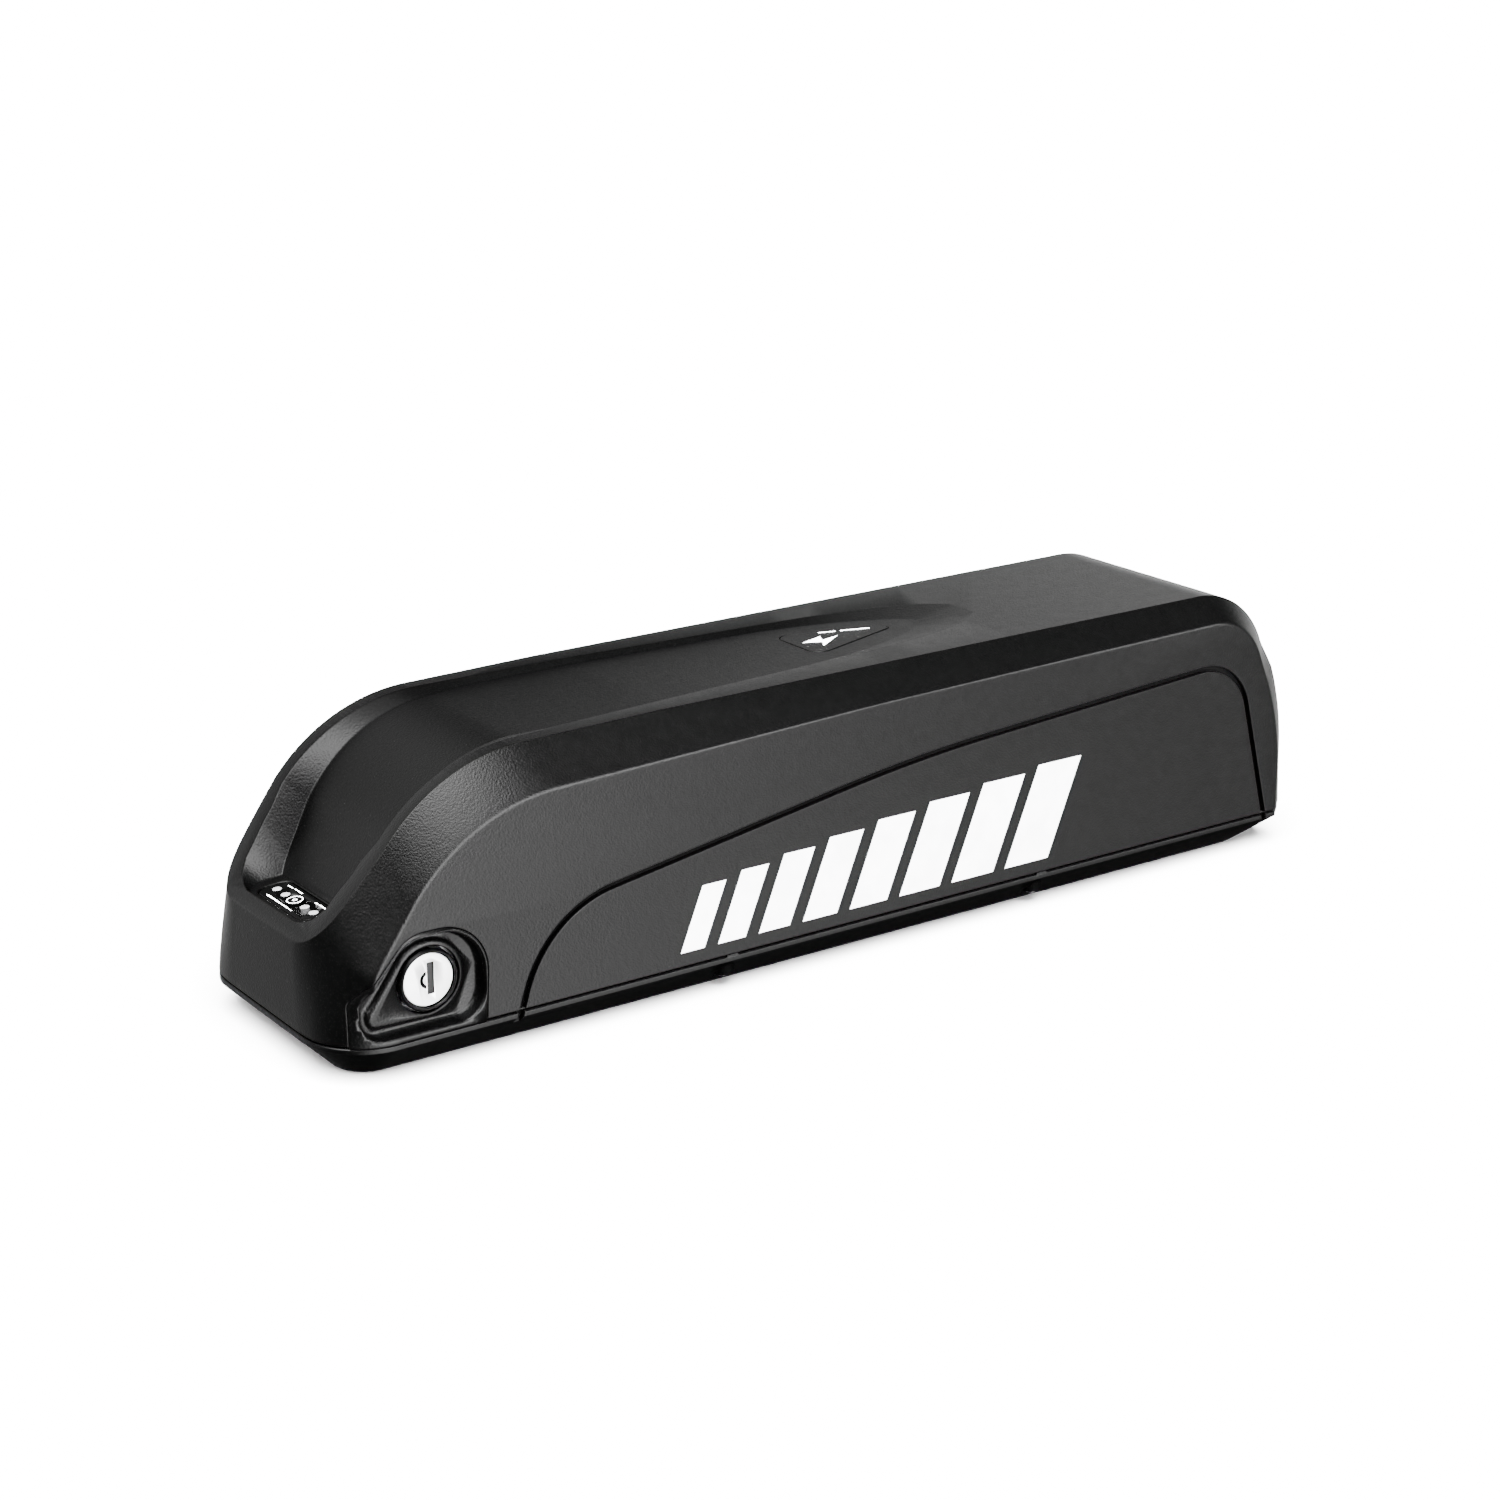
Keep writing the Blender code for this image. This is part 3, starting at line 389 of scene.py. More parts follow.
# Top profile corner, side edge corner, half width of the top, roundness of the flank,
# and the number of pieces in this station's arc.
FOOT = PARTING - 0.0020
STATIONS = (
    ((0.0000, FOOT, 0), (0.0200, FOOT, 0), 0.0250, 1.00, 0),
    ((0.0000, 0.0140, 0), (0.0193, 0.0140, 0), 0.0250, 0.97, 0),
    ((0.0002, 0.0190, 0), (0.0177, 0.0185, 0), 0.0247, 0.86, 0),
    ((0.0004, 0.0250, 0), (0.0156, 0.0232, 0), 0.0241, 0.66, 0),
    ((0.0006, 0.0310, 0), (0.0138, 0.0275, 0), 0.0233, 0.44, 0),
    ((0.0008, 0.0350, 0), (0.0128, 0.0302, 0), 0.0226, 0.32, 0),
    ((0.0009, 0.0385, 0.0012), (0.0127, 0.0320, 0.003), 0.0225, 0.24, 4),
    ((0.0025, 0.0404, 0), (0.0138, 0.0338, 0), 0.0265, 0.19, 0),
    ((0.0051, 0.0436, 0), (0.0157, 0.0366, 0), 0.0300, 0.13, 0),
    ((0.0099, 0.0496, 0), (0.0196, 0.0419, 0), 0.0324, 0.08, 0),
    ((0.0160, 0.0572, 0), (0.0235, 0.0476, 0), 0.0338, 0.06, 0),
    ((0.0411, 0.0886, 0.059), (0.0431, 0.0758, 0.062), 0.0350, 0.05, 40),
    ((0.1150, 0.0901, 0), (0.1887, 0.0811, 0), 0.0350, 0.05, 0),
    ((0.3525, 0.0911, 0.0325), (0.3447, 0.0842, 0.024), 0.0350, 0.05, 36),
    ((0.3700, 0.0460, 0.090), (0.3622, 0.0417, 0.090), 0.0375, 0.05, 12),
    ((0.3700, FOOT, 0), (0.3622, FOOT, 0), 0.0385, 0.05, 0),
)
# Distance between rows on the nose and on the rest
SPACING = 0.0015
LONG_SPACING = 0.008
# Blend of the long edges, blend of the front edges, and height of the lip between them
EDGE_R = 0.0009
FRONT_R = 0.0045
LIP_Z = 0.0385
# How far the flanks run past the top before it trims them
OVERRUN = 0.0045


def stations_path(stations):
    """Matching top and edge points with the half width and roundness at each."""
    steps = [s[4] for s in stations]
    tops = rounded([s[0] for s in stations], steps)
    edges = rounded([s[1] for s in stations], steps)
    shape = []
    for i, station in enumerate(stations):
        count = steps[i] + 1 if station[0][2] else 1
        shape += [(station[2], station[3])] * count
    path = []
    for i in range(len(tops) - 1):
        spacing = SPACING if tops[i + 1].x < 0.03 else LONG_SPACING
        pieces = max(1, int((tops[i + 1] - tops[i]).length / spacing))
        for k in range(pieces):
            t = k / pieces
            path.append((
                tops[i].lerp(tops[i + 1], t), edges[i].lerp(edges[i + 1], t),
                lerp(shape[i][0], shape[i + 1][0], t), lerp(shape[i][1], shape[i + 1][1], t)))
    path.append((tops[-1], edges[-1], *shape[-1]))
    return path


def flank_point(corner, brim, roundness, u):
    """A point between the top's edge and the side's edge, on a line or towards an ellipse."""
    turn = u * math.pi / 2
    along = (1 - roundness) * u + roundness * (1 - math.cos(turn))
    across = (1 - roundness) * u + roundness * math.sin(turn)
    point = corner.lerp(brim, along)
    point.y = lerp(corner.y, brim.y, across)
    return point


def fan(bm, ring, hub):
    """Fill a flat ring with triangles that meet at a hub inside it."""
    middle = bm.verts.new(hub)
    for a, b in zip(ring, ring[1:] + ring[:1]):
        bm.faces.new((middle, a, b))


def smooth_rows(rows, first, last, times):
    """Even out the rows between two row numbers, which stay as they are."""
    for _ in range(times):
        rows[first + 1:last] = [
            [(a + b * 2 + c) / 4 for a, b, c in zip(rows[i - 1], rows[i], rows[i + 1])]
            for i in range(first + 1, last)]


def case_form(name, stations, side, look="shell", edge_r=EDGE_R, pieces=14, overrun=0.0):
    """The solid case over a list of stations, with rounded edges.

    With an overrun the flanks carry on past the top by that much, for top_form to trim.
    """
    path = stations_path(stations)
    rows = []
    for i, (top, edge, half, roundness) in enumerate(path):
        before = path[max(i - 1, 0)][1]
        after = path[min(i + 1, len(path) - 1)][1]
        along = (after - before).normalized()
        brim = Vector((nose(edge.x), side, edge.y))
        corner = Vector((nose(top.x), half, top.y))
        reach = min(max((top.y - LIP_Z) / 0.004, 0.0), 1.0)
        if top.x > 0.1:
            reach = 1.0
        corner += (corner - brim).normalized() * overrun * reach
        blend = lerp(FRONT_R, edge_r, reach) if overrun else edge_r
        rows.append([corner, brim, Vector((along.y, 0, -along.x)), roundness, blend])
    if overrun:
        smooth_rows(rows, 1, next(i for i, p in enumerate(path) if p[0].x > 0.018), 14)
    rings = []
    for corner, brim, inward, roundness, corner_r in rows:
        length = (brim - corner).length
        u0 = min(corner_r / length, 0.4)
        u1 = min(edge_r / length, 0.3)
        start = corner - Vector((0, corner_r, 0))
        flank = bezier(start, corner, flank_point(corner, brim, roundness, u0), 6)
        for k in range(1, pieces):
            flank.append(flank_point(corner, brim, roundness, lerp(u0, 1 - u1, k / pieces)))
        flank += bezier(
            flank_point(corner, brim, roundness, 1 - u1), brim, brim + inward.normalized() * edge_r, 4)
        row = [p for p in reversed(flank)]
        row += [Vector((p.x, -p.y, p.z)) for p in flank]
        rings.append(row)
    bm = bmesh.new()
    rings = [[bm.verts.new(p) for p in row] for row in rings]
    for ring, following in zip(rings, rings[1:]):
        for i in range(len(ring) - 1):
            bm.faces.new((ring[i], ring[i + 1], following[i + 1], following[i]))
    bmesh.ops.triangulate(bm, faces=bm.faces, quad_method="SHORT_EDGE")
    fan(bm, [ring[0] for ring in rings], (0.0, side, 0.040))
    fan(bm, [ring[-1] for ring in rings], (0.0, -side, 0.040))
    fan(bm, rings[0] + list(reversed(rings[-1])), (0.0, 0.0, rings[0][0].co.z))
    return new_object(name, bm, look)


def top_form():
    """A prism under the top profile, wider than the case, that trims its flanks."""
    slope = [s for s in STATIONS if s[0][1] > LIP_Z]
    start = Vector(slope[0][0][:2])
    fall = (start - Vector(slope[2][0][:2])).normalized()
    low = start + fall * 0.010
    corners = [(low.x, low.y, 0)] + [s[0] for s in slope if s[0][2]]
    corners.insert(2, STATIONS[-4][0])
    corners += [(0.3700, 0.002, 0), (low.x, 0.002, 0)]
    outline = rounded(corners, 40)
    rows = [[(nose(x), y, z) for x, z in outline] for y in (-0.06, 0.06)]
    return loft("top_form", rows, "shell")


def outer_form():
    """The outside of the upper case as a solid."""
    form = case_form("case_top", STATIONS, HALF_WIDTH, overrun=OVERRUN)
    return combine(form, "INTERSECT", top_form())


CAVITY = (
    ((0.0028, FOOT - 0.001, 0), (0.0200, FOOT - 0.001, 0), 0.0235, 1.00, 0),
    ((0.0034, 0.0290, 0), (0.0165, 0.0240, 0), 0.0220, 0.50, 0),
    ((0.0045, 0.0360, 0), (0.0165, 0.0310, 0), 0.0200, 0.30, 0),
    ((0.0080, 0.0388, 0), (0.0190, 0.0340, 0), 0.0240, 0.10, 0),
    ((0.0190, 0.0397, 0), (0.0225, 0.0400, 0), 0.0290, 0.10, 0),
    ((0.0452, 0.0837, 0.048), (0.0460, 0.0722, 0.058), 0.0330, 0.10, 8),
    ((0.2380, 0.0862, 0), (0.1887, 0.0780, 0), 0.0330, 0.10, 0),
    ((0.3503, 0.0880, 0.030), (0.3425, 0.0808, 0.021), 0.0330, 0.10, 8),
    ((0.3672, 0.0455, 0.087), (0.3593, 0.0412, 0.087), 0.0352, 0.10, 4),
    ((0.3672, FOOT - 0.001, 0), (0.3593, FOOT - 0.001, 0), 0.0360, 0.10, 0),
)

# Scoop: floor point (x, z, half width), rim point (x, z, half width), pieces in its arc
SCOOP = (
    ((0.0046, 0.0418, 0.0140), (0.0040, 0.0424, 0.0152), 0),
    ((0.0056, 0.0419, 0.0162), (0.0046, 0.0431, 0.0185), 0),
    ((0.0072, 0.0420, 0.0180), (0.0060, 0.0447, 0.0222), 0),
    ((0.0110, 0.0424, 0.0192), (0.0090, 0.0485, 0.0253), 0),
    ((0.0150, 0.0427, 0.0192), (0.0122, 0.0525, 0.0261), 0),
    ((0.0175, 0.0430, 0.0194), (0.0148, 0.0557, 0.0270), 0),
    ((0.0190, 0.0455, 0.0208), (0.0165, 0.0578, 0.0276), 0),
    ((0.0210, 0.0489, 0.0218), (0.0190, 0.0610, 0.0278), 0),
    ((0.0436, 0.0868, 0.0240), (0.0411, 0.0886, 0.0300), 32),
    ((0.0850, 0.0878, 0.0255), (0.0850, 0.0895, 0.0290), 0),
    ((0.1200, 0.0886, 0.0242), (0.1200, 0.0901, 0.0272), 0),
    ((0.1650, 0.0889, 0.0218), (0.1650, 0.0903, 0.0241), 0),
    ((0.1900, 0.0891, 0.0192), (0.1900, 0.0904, 0.0228), 0),
    ((0.2050, 0.0892, 0.0165), (0.2080, 0.0905, 0.0212), 0),
    ((0.2160, 0.0893, 0.0133), (0.2220, 0.0905, 0.0194), 0),
    ((0.2240, 0.0893, 0.0102), (0.2340, 0.0906, 0.0172), 0),
    ((0.2300, 0.0894, 0.0074), (0.2440, 0.0906, 0.0142), 0),
    ((0.2350, 0.0894, 0.0044), (0.2520, 0.0907, 0.0104), 0),
    ((0.2375, 0.0895, 0.0022), (0.2570, 0.0907, 0.0062), 0),
    ((0.2385, 0.0895, 0.0008), (0.2590, 0.0908, 0.0020), 0),
)
FLOOR_ARC = 0.051
RIM_ARC = 0.059
FOOT_FILLET = 0.0006
RIM_ROUND = 0.0004


def scoop():
    """The cutter for the dished top, with a filleted foot and a rounded rim."""
    floors = [(*s[0][:2], FLOOR_ARC if s[2] else 0) for s in SCOOP]
    rims = [(*s[1][:2], RIM_ARC if s[2] else 0) for s in SCOOP]
    steps = [s[2] for s in SCOOP]
    floor_points = rounded(floors, steps)
    rim_points = rounded(rims, steps)
    widths = []
    for floor, rim, count in SCOOP:
        widths += [(floor[2], rim[2])] * (count + 1)
    dense = []
    for i in range(len(floor_points) - 1):
        pieces = max(1, int((rim_points[i + 1] - rim_points[i]).length / 0.004))
        for k in range(pieces):
            t = k / pieces
            dense.append((
                floor_points[i].lerp(floor_points[i + 1], t), rim_points[i].lerp(rim_points[i + 1], t),
                lerp(widths[i][0], widths[i + 1][0], t), lerp(widths[i][1], widths[i + 1][1], t)))
    dense.append((floor_points[-1], rim_points[-1], *widths[-1]))
    rows = []
    for i, (floor, rim, floor_half, rim_half) in enumerate(dense):
        along = (dense[min(i + 1, len(dense) - 1)][1] - dense[max(i - 1, 0)][1]).normalized()
        out = Vector((-along.y, 0, along.x))
        foot = Vector((nose(floor.x), floor_half, floor.y))
        brim = Vector((nose(rim.x), rim_half, rim.y))
        wall = brim - foot
        fillet = min(FOOT_FILLET, wall.length * 0.3, floor_half * 0.5)
        round_r = min(RIM_ROUND, wall.length * 0.25)
        half_row = bezier(foot - Vector((0, fillet, 0)), foot, foot + wall.normalized() * fillet, 5)
        half_row += bezier(brim - wall.normalized() * round_r, brim, brim + Vector((0, round_r, 0)), 4)
        half_row.append(half_row[-1] + Vector((0, 0.0004, 0)) + out * 0.0001)
        half_row.append(half_row[-1] + out * 0.004)
        row = [p for p in half_row]
        row += [Vector((p.x, -p.y, p.z)) for p in reversed(half_row)]
        rows.append(row)
    return loft("scoop", rows, "shell_smooth")


GROOVE = (
    (0.0586, 0.0070, 0),
    (0.0686, 0.0397, 0.038),
    (0.2050, 0.0614, 0.600),
    (0.3411, 0.0697, 0.021),
    (0.3580, 0.0065, 0),
)


def groove(side):
    """The cutter for the line around the panel; its edges are chamfered."""
    path = rounded(GROOVE, 28)
    profile = ((-0.00140, -0.0004), (-0.00100, 0.00012), (-0.00095, 0.0020),
               (0.00095, 0.0020), (0.00100, 0.00012), (0.00140, -0.0004))
    rows = []
    for i, point in enumerate(path):
        along = (path[min(i + 1, len(path) - 1)] - path[max(i - 1, 0)]).normalized()
        across = Vector((-along.y, along.x))
        row = []
        for offset, depth in profile:
            place = point + across * offset
            row.append((nose(place.x), side * (HALF_WIDTH - depth), place.y))
        rows.append(row)
    return loft("groove", rows, "black")


# ---------------------------------------------------------------- lock insert and port insert

BEZEL = (
    (0.0070, PARTING - 0.001, 0.0001),
    (0.0074, 0.0246, 0.0040),
    (0.0239, 0.0430, 0.0120),
    (0.0500, 0.0430, 0.0155),
    (0.0484, PARTING - 0.001, 0.0001),
)
RECESS = (
    (0.0089, 0.0130, 0.0064),
    (0.0089, 0.0244, 0.0055),
    (0.0240, 0.0418, 0.0110),
    (0.0486, 0.0418, 0.0146),
    (0.0486, 0.0130, 0.0090),
)
TIP = Vector((0.0154, 0.0195))
TIP_R = 0.0028
PEDESTAL_R = 0.0112
PEDESTAL_DEPTH = 0.0030


def teardrop(extra, steps=72):
    """The pedestal's outline around the lock and the tip, moved outwards by extra."""
    centre = Vector((LOCK_X, LOCK_Z))
    axis = TIP - centre
    heading = math.atan2(axis.y, axis.x)
    lean = math.acos((PEDESTAL_R - TIP_R) / axis.length)
    points = []
    for k in range(steps + 1):
        angle = heading + lean + (2 * math.pi - 2 * lean) * k / steps
        points.append(centre + Vector((math.cos(angle), math.sin(angle))) * (PEDESTAL_R + extra))
    for k in range(steps // 3 + 1):
        angle = heading - lean + 2 * lean * k / (steps // 3)
        points.append(TIP + Vector((math.cos(angle), math.sin(angle))) * (TIP_R + extra))
    return points


def insert(name, side, floor_depth, look):
    """A flush insert with a dished recess."""
    outline = closed_outline(BEZEL, 16)
    body = side_loft(name, [(outline, 0.0080), (outline, -0.0020)], side, look)
    combine(body, "INTERSECT", outer_form())
    levels = [(0.0003, -0.0020), (0.0003, -0.0001), (0.0, 0.0002), (-0.0002, 0.0006)]
    deep = floor_depth - 0.0006
    for k in range(1, 7):
        turn = k / 6 * math.pi / 2
        levels.append((-0.0002 - 0.0014 * (1 - math.cos(turn)), 0.0006 + deep * math.sin(turn)))
    rows = [(closed_outline(grow(RECESS, amount), 16), depth) for amount, depth in reversed(levels)]
    cut(body, side_loft("recess", rows, side, look, 50))
    return body


# ---------------------------------------------------------------- indicator

PANEL_X = 0.0118
PANEL_Z = 0.0424
PANEL_TILT = math.radians(5.0)
LAMP_YS = (-0.01155, -0.0061, 0.0061, 0.01155)
LABEL_TOP = 0.0002


def on_panel(x, y, depth):
    """A point on the indicator shelf: x up its slope, y across, depth below it."""
    return Vector((
        nose(PANEL_X) + x * math.cos(PANEL_TILT) + depth * math.sin(PANEL_TILT), y,
        PANEL_Z + x * math.sin(PANEL_TILT) - depth * math.cos(PANEL_TILT)))


def panel_slab(name, corners, levels, look, steps=10):
    """A slab on the indicator from (depth, growth) levels of a rounded outline."""
    rows = []
    for depth, growth in levels:
        outline = closed_outline(grow(corners, growth), steps)
        rows.append([on_panel(x, y, depth) for x, y in outline])
    return loft(name, rows, look)


def panel_box(half_x, half_y, radius):
    return ((-half_x, -half_y, radius), (-half_x, half_y, radius),
            (half_x, half_y, radius), (half_x, -half_y, radius))


PLATE = panel_box(0.0054, 0.0150, 0.0035)
PANEL_UP = (on_panel(0, 0, -1) - on_panel(0, 0, 0)).normalized()


def panel_cutters():
    levels = ((0.0010, 0.0003), (0.0002, 0.0003), (-0.0004, 0.0012))
    pocket = panel_slab("pocket", PLATE, levels, "shell")
    profile = ((-0.006, 0.0033), (0.003, 0.0033))
    bore = turned("bore", profile, on_panel(0, 0, 0), PANEL_UP, "shell", 48)
    profile = ((-0.006, 0.0016), (0.003, 0.0016))
    holes = [turned("hole", profile, on_panel(0, y, 0), PANEL_UP, "shell", 24) for y in LAMP_YS]
    return [pocket, bore] + holes


def indicator():
    levels = ((0.0006, 0.0), (0.00035, 0.0), (LABEL_TOP, -0.0002))
    plate = panel_slab("indicator_label", PLATE, levels, "gloss")
    profile = ((-0.003, 0.0030), (0.003, 0.0030))
    cut(plate, turned("bore", profile, on_panel(0, 0, 0), PANEL_UP, "gloss", 48))
    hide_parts("indicator_overlay")
    keep(plate, "case")
    dome = ((-0.00005, 0.0014), (0.00010, 0.00135), (0.00016, 0.0011), (0.00018, 0.0))
    for y in LAMP_YS:
        lamp = turned("lamp", dome, on_panel(0, y, LABEL_TOP), PANEL_UP, "lamp", 40)
        keep(lamp, "case")
    profile = ((-0.0046, 0.0028), (-0.0001, 0.0028), (0.0001, 0.0026), (0.00012, 0.0))
    button = turned("button", profile, on_panel(0, 0, 0), PANEL_UP, "black", 64)
    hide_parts("check_button")
    keep(button, "button")
    for inner, outer in ((0.0004, 0.0007), (0.0022, 0.0025)):
        ring = ring_on_panel("button_ring", 0.0, inner, outer, -0.00010)
        keep(ring, "button")
    for points in PANEL_MARKS:
        keep(mark_on_panel(points, LABEL_TOP), "case")


def ring_on_panel(name, y, inner, outer, depth):
    """A flat printed ring round a point of the shelf."""
    centre = on_panel(0, y, depth)
    rows = []
    across = (on_panel(1, 0, 0) - on_panel(0, 0, 0)).normalized()
    for radius, rise in ((inner, -0.00004), (outer, -0.00004), (outer, 0.00005), (inner, 0.00005)):
        rows.append([
            centre + PANEL_UP * rise + (across * math.cos(a) + Vector((0, 1, 0)) * math.sin(a)) * radius
            for a in (2 * math.pi * k / 64 for k in range(64))])
    return loft(name, rows + [rows[0]], "ink", caps=False)


# Plain marks on the label, as (x, y) corners on the shelf
PANEL_MARKS = (
    ((0.0035, 0.0115), (0.0039, 0.0115), (0.0039, 0.0085), (0.0035, 0.0085)),
    ((0.0037, 0.0078), (0.0041, 0.0078), (0.0041, 0.0030), (0.0037, 0.0030)),
    ((0.0035, -0.0055), (0.0039, -0.0055), (0.0039, -0.0072), (0.0035, -0.0072)),
    ((0.0036, -0.0078), (0.0040, -0.0078), (0.0040, -0.0130), (0.0036, -0.0130)),
    ((-0.0043, 0.0100), (-0.0036, 0.0098), (-0.0039, -0.0060), (-0.0041, -0.0060)),
)


def mark_on_panel(points, depth):
    rows = [[on_panel(x, y, depth + rise) for x, y in points] for rise in (0.00004, -0.00005)]
    return loft("label_mark", rows, "ink")


# ---------------------------------------------------------------- badge

BADGE = ((0.1892, 0.0126, 0.0045), (0.2308, 0.0000, 0.0020), (0.1892, -0.0126, 0.0045))
BADGE_GAP = 0.00035
EMBLEM = (
    ((0.1926, 0.0006), (0.2016, 0.0034), (0.1998, -0.0004), (0.2070, 0.0010),
     (0.1962, -0.0060), (0.1984, -0.0022)),
    ((0.2034, 0.0066), (0.2037, 0.0074), (0.2093, 0.0056), (0.2090, 0.0048)),
    ((0.2106, 0.0044), (0.2109, 0.0052), (0.2205, 0.0022), (0.2202, 0.0014)),
)


def badge_point(x, y, rise):
    """A point on the floor of the scoop, which climbs a little towards the tail."""
    return (nose(x), y, 0.0891 + (x - 0.190) * 0.0075 + rise)


def badge_slab(name, outline, levels, look):
    rows = [[badge_point(x, y, rise) for x, y in closed_outline(grow(outline, growth), 14)]
            for rise, growth in levels]
    return loft(name, rows, look)


def badge():
    plate = badge_slab("badge_plate", BADGE, (
        (-0.0005, 0.0), (-0.0001, 0.0), (0.0001, -0.0002)), "shell_smooth")
    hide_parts("badge")
    keep(plate, "case")
    for points in EMBLEM:
        rows = [[badge_point(x, y, rise) for x, y in points] for rise in (0.00005, 0.00015)]
        keep(loft("badge_mark", rows, "ink"), "case")


# ---------------------------------------------------------------- lock and port

# The keyway, from the middle of the lock
SLOT_LEFT = LOCK_X - 0.0004
SLOT_RIGHT = LOCK_X + 0.0018
SLOT_LOW = LOCK_Z - 0.0044
SLOT_TOP = LOCK_Z + 0.0052


def keep(obj, body):
    """The piece moves with a body."""
    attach(obj, body)
    return obj


def lock():
    body = insert("lock_insert", -1, 0.0045, "insert")
    levels = [(0.0014, 0.0045), (0.0012, 0.0020), (0.0009, 0.0012), (0.0004, 0.0005),
              (-0.0002, 0.0001), (-0.0008, 0.0)]
    rows = [(teardrop(extra), PEDESTAL_DEPTH + drop) for extra, drop in levels]
    join(body, side_loft("pedestal", rows, -1, "insert", 60))
    axis = (0, 1, 0)
    middle = Vector((LOCK.x, 0, LOCK.z))
    mouth = PEDESTAL_DEPTH - HALF_WIDTH
    profile = ((mouth - 0.004, 0.0106), (mouth, 0.0103), (mouth + 0.0005, 0.0100), (-0.030, 0.0097))
    cut(body, turned("bore", profile, middle, axis, "insert"))
    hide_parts("lock_bezel")
    keep(body, "case")
    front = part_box("lock_barrel")[0].y
    profile = ((front + 0.0205, 0.0094), (front + 0.0006, 0.0094), (front, 0.0089))
    barrel = turned("lock_ring", profile, middle, axis, "black", 18, 20)
    cut(barrel, turned("bore", ((front - 0.002, 0.0086), (front + 0.0004, 0.0083), (front + 0.03, 0.0083)),
                       middle, axis, "gloss"))
    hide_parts("lock_barrel")
    keep(barrel, "case")
    profile = ((LOCK_FACE_Y + 0.0228, 0.0080), (LOCK_FACE_Y + 0.0004, 0.0080),
               (LOCK_FACE_Y + 0.0001, 0.0078), (LOCK_FACE_Y, 0.0074))
    face = turned("lock_face", profile, middle, axis, "lock_face")
    arm = box("cam_arm", (LOCK_X, -0.0195, LOCK_Z - 0.0012),
              (LOCK_X + 0.0060, -0.0168, LOCK_Z + 0.0012), "steel")
    hub = turned("hub", ((-0.0200, 0.0030), (-0.0165, 0.0030)), middle, axis, "steel", 32)
    join(face, hub, arm)
    # The keyway and crescent cutters carry the gloss black onto the walls they open in the bright lock face:
    # painted shade inside them
    cut(face, box("key_slot", (SLOT_LEFT, -0.0430, SLOT_LOW), (SLOT_RIGHT, -0.0336, SLOT_TOP), "gloss"))
    crescent = turned("crescent", ((LOCK_FACE_Y - 0.001, 0.0027), (LOCK_FACE_Y + 0.0080, 0.0027)),
                      middle, axis, "gloss", 48)
    half = box("half", (LOCK_X - 0.0007, -0.046, LOCK_Z - 0.004),
               (LOCK_X + 0.005, -0.030, LOCK_Z + 0.004), "gloss")
    core = turned("core", ((LOCK_FACE_Y - 0.002, 0.0017), (LOCK_FACE_Y + 0.009, 0.0017)),
                  middle, axis, "gloss", 48)
    cut(crescent, half, core)
    cut(face, crescent)
    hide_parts("lock_cylinder")
    keep(face, "key_cylinder")
    guard = box("slot_shutter", (SLOT_LEFT, LOCK_FACE_Y + 0.0005, SLOT_LOW),
                (SLOT_RIGHT, LOCK_FACE_Y + 0.0009, SLOT_TOP), "iron")
    keep(guard, "key_cylinder")


def port():
    body = insert("port_insert", 1, 0.0030, "insert")
    axis = (0, 1, 0)
    middle = Vector((LOCK.x, 0, LOCK.z))
    cut(body, turned("bore", ((0.030, 0.0088), (0.046, 0.0088)), middle, axis, "insert"))
    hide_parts("port_bezel")
    keep(body, "case")
    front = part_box("charge_cap")[1].y
    profile = ((0.0410, 0.0), (0.0410, 0.0032), (0.0413, 0.0034), (0.0428, 0.0034),
               (0.0428, 0.0094), (0.0430, 0.0096), (front - 0.0005, 0.0096),
               (front - 0.0001, 0.0092), (front, 0.0087), (front - 0.0002, 0.0070),
               (front - 0.0003, 0.0))
    cap = turned("cap", profile, middle, axis, "rubber", 96, 30)
    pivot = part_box("charge_cap")[1].z - 0.0011
    strap = box("strap", (LOCK_X - 0.0040, 0.0431, LOCK_Z + 0.0088),
                (LOCK_X + 0.0040, 0.0443, pivot), "rubber")
    knuckle = turned("knuckle", ((-0.005, 0.0009), (-0.0047, 0.0011), (0.0047, 0.0011), (0.005, 0.0009)),
                     (LOCK.x, 0.0436, pivot), (1, 0, 0), "rubber", 32)
    join(cap, strap, knuckle)
    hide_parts("charge_cap")
    keep(cap, "port_cap")
    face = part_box("charge_socket")[1].y
    profile = ((0.0325, 0.0085), (face - 0.0003, 0.0085), (face, 0.0082))
    socket = turned("socket", profile, middle, axis, "black")
    cut(socket, turned("bore", ((0.0345, 0.0046), (face - 0.0004, 0.0046), (face + 0.001, 0.0052)),
                       middle, axis, "black"))
    profile = ((0.0340, 0.0010), (0.0355, 0.0010), (0.0358, 0.0007))
    join(socket, turned("pin", profile, middle, axis, "brass", 32))
    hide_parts("charge_socket")
    keep(socket, "case")


# ---------------------------------------------------------------- power switch

SWITCH_Z = 0.0290
ROCKER_X = 0.3655
ROCKER_REST = math.radians(7)
ON_MARK = ((-0.0002, -0.0010), (-0.0002, 0.0010), (0.0002, 0.0010), (0.0002, -0.0010))


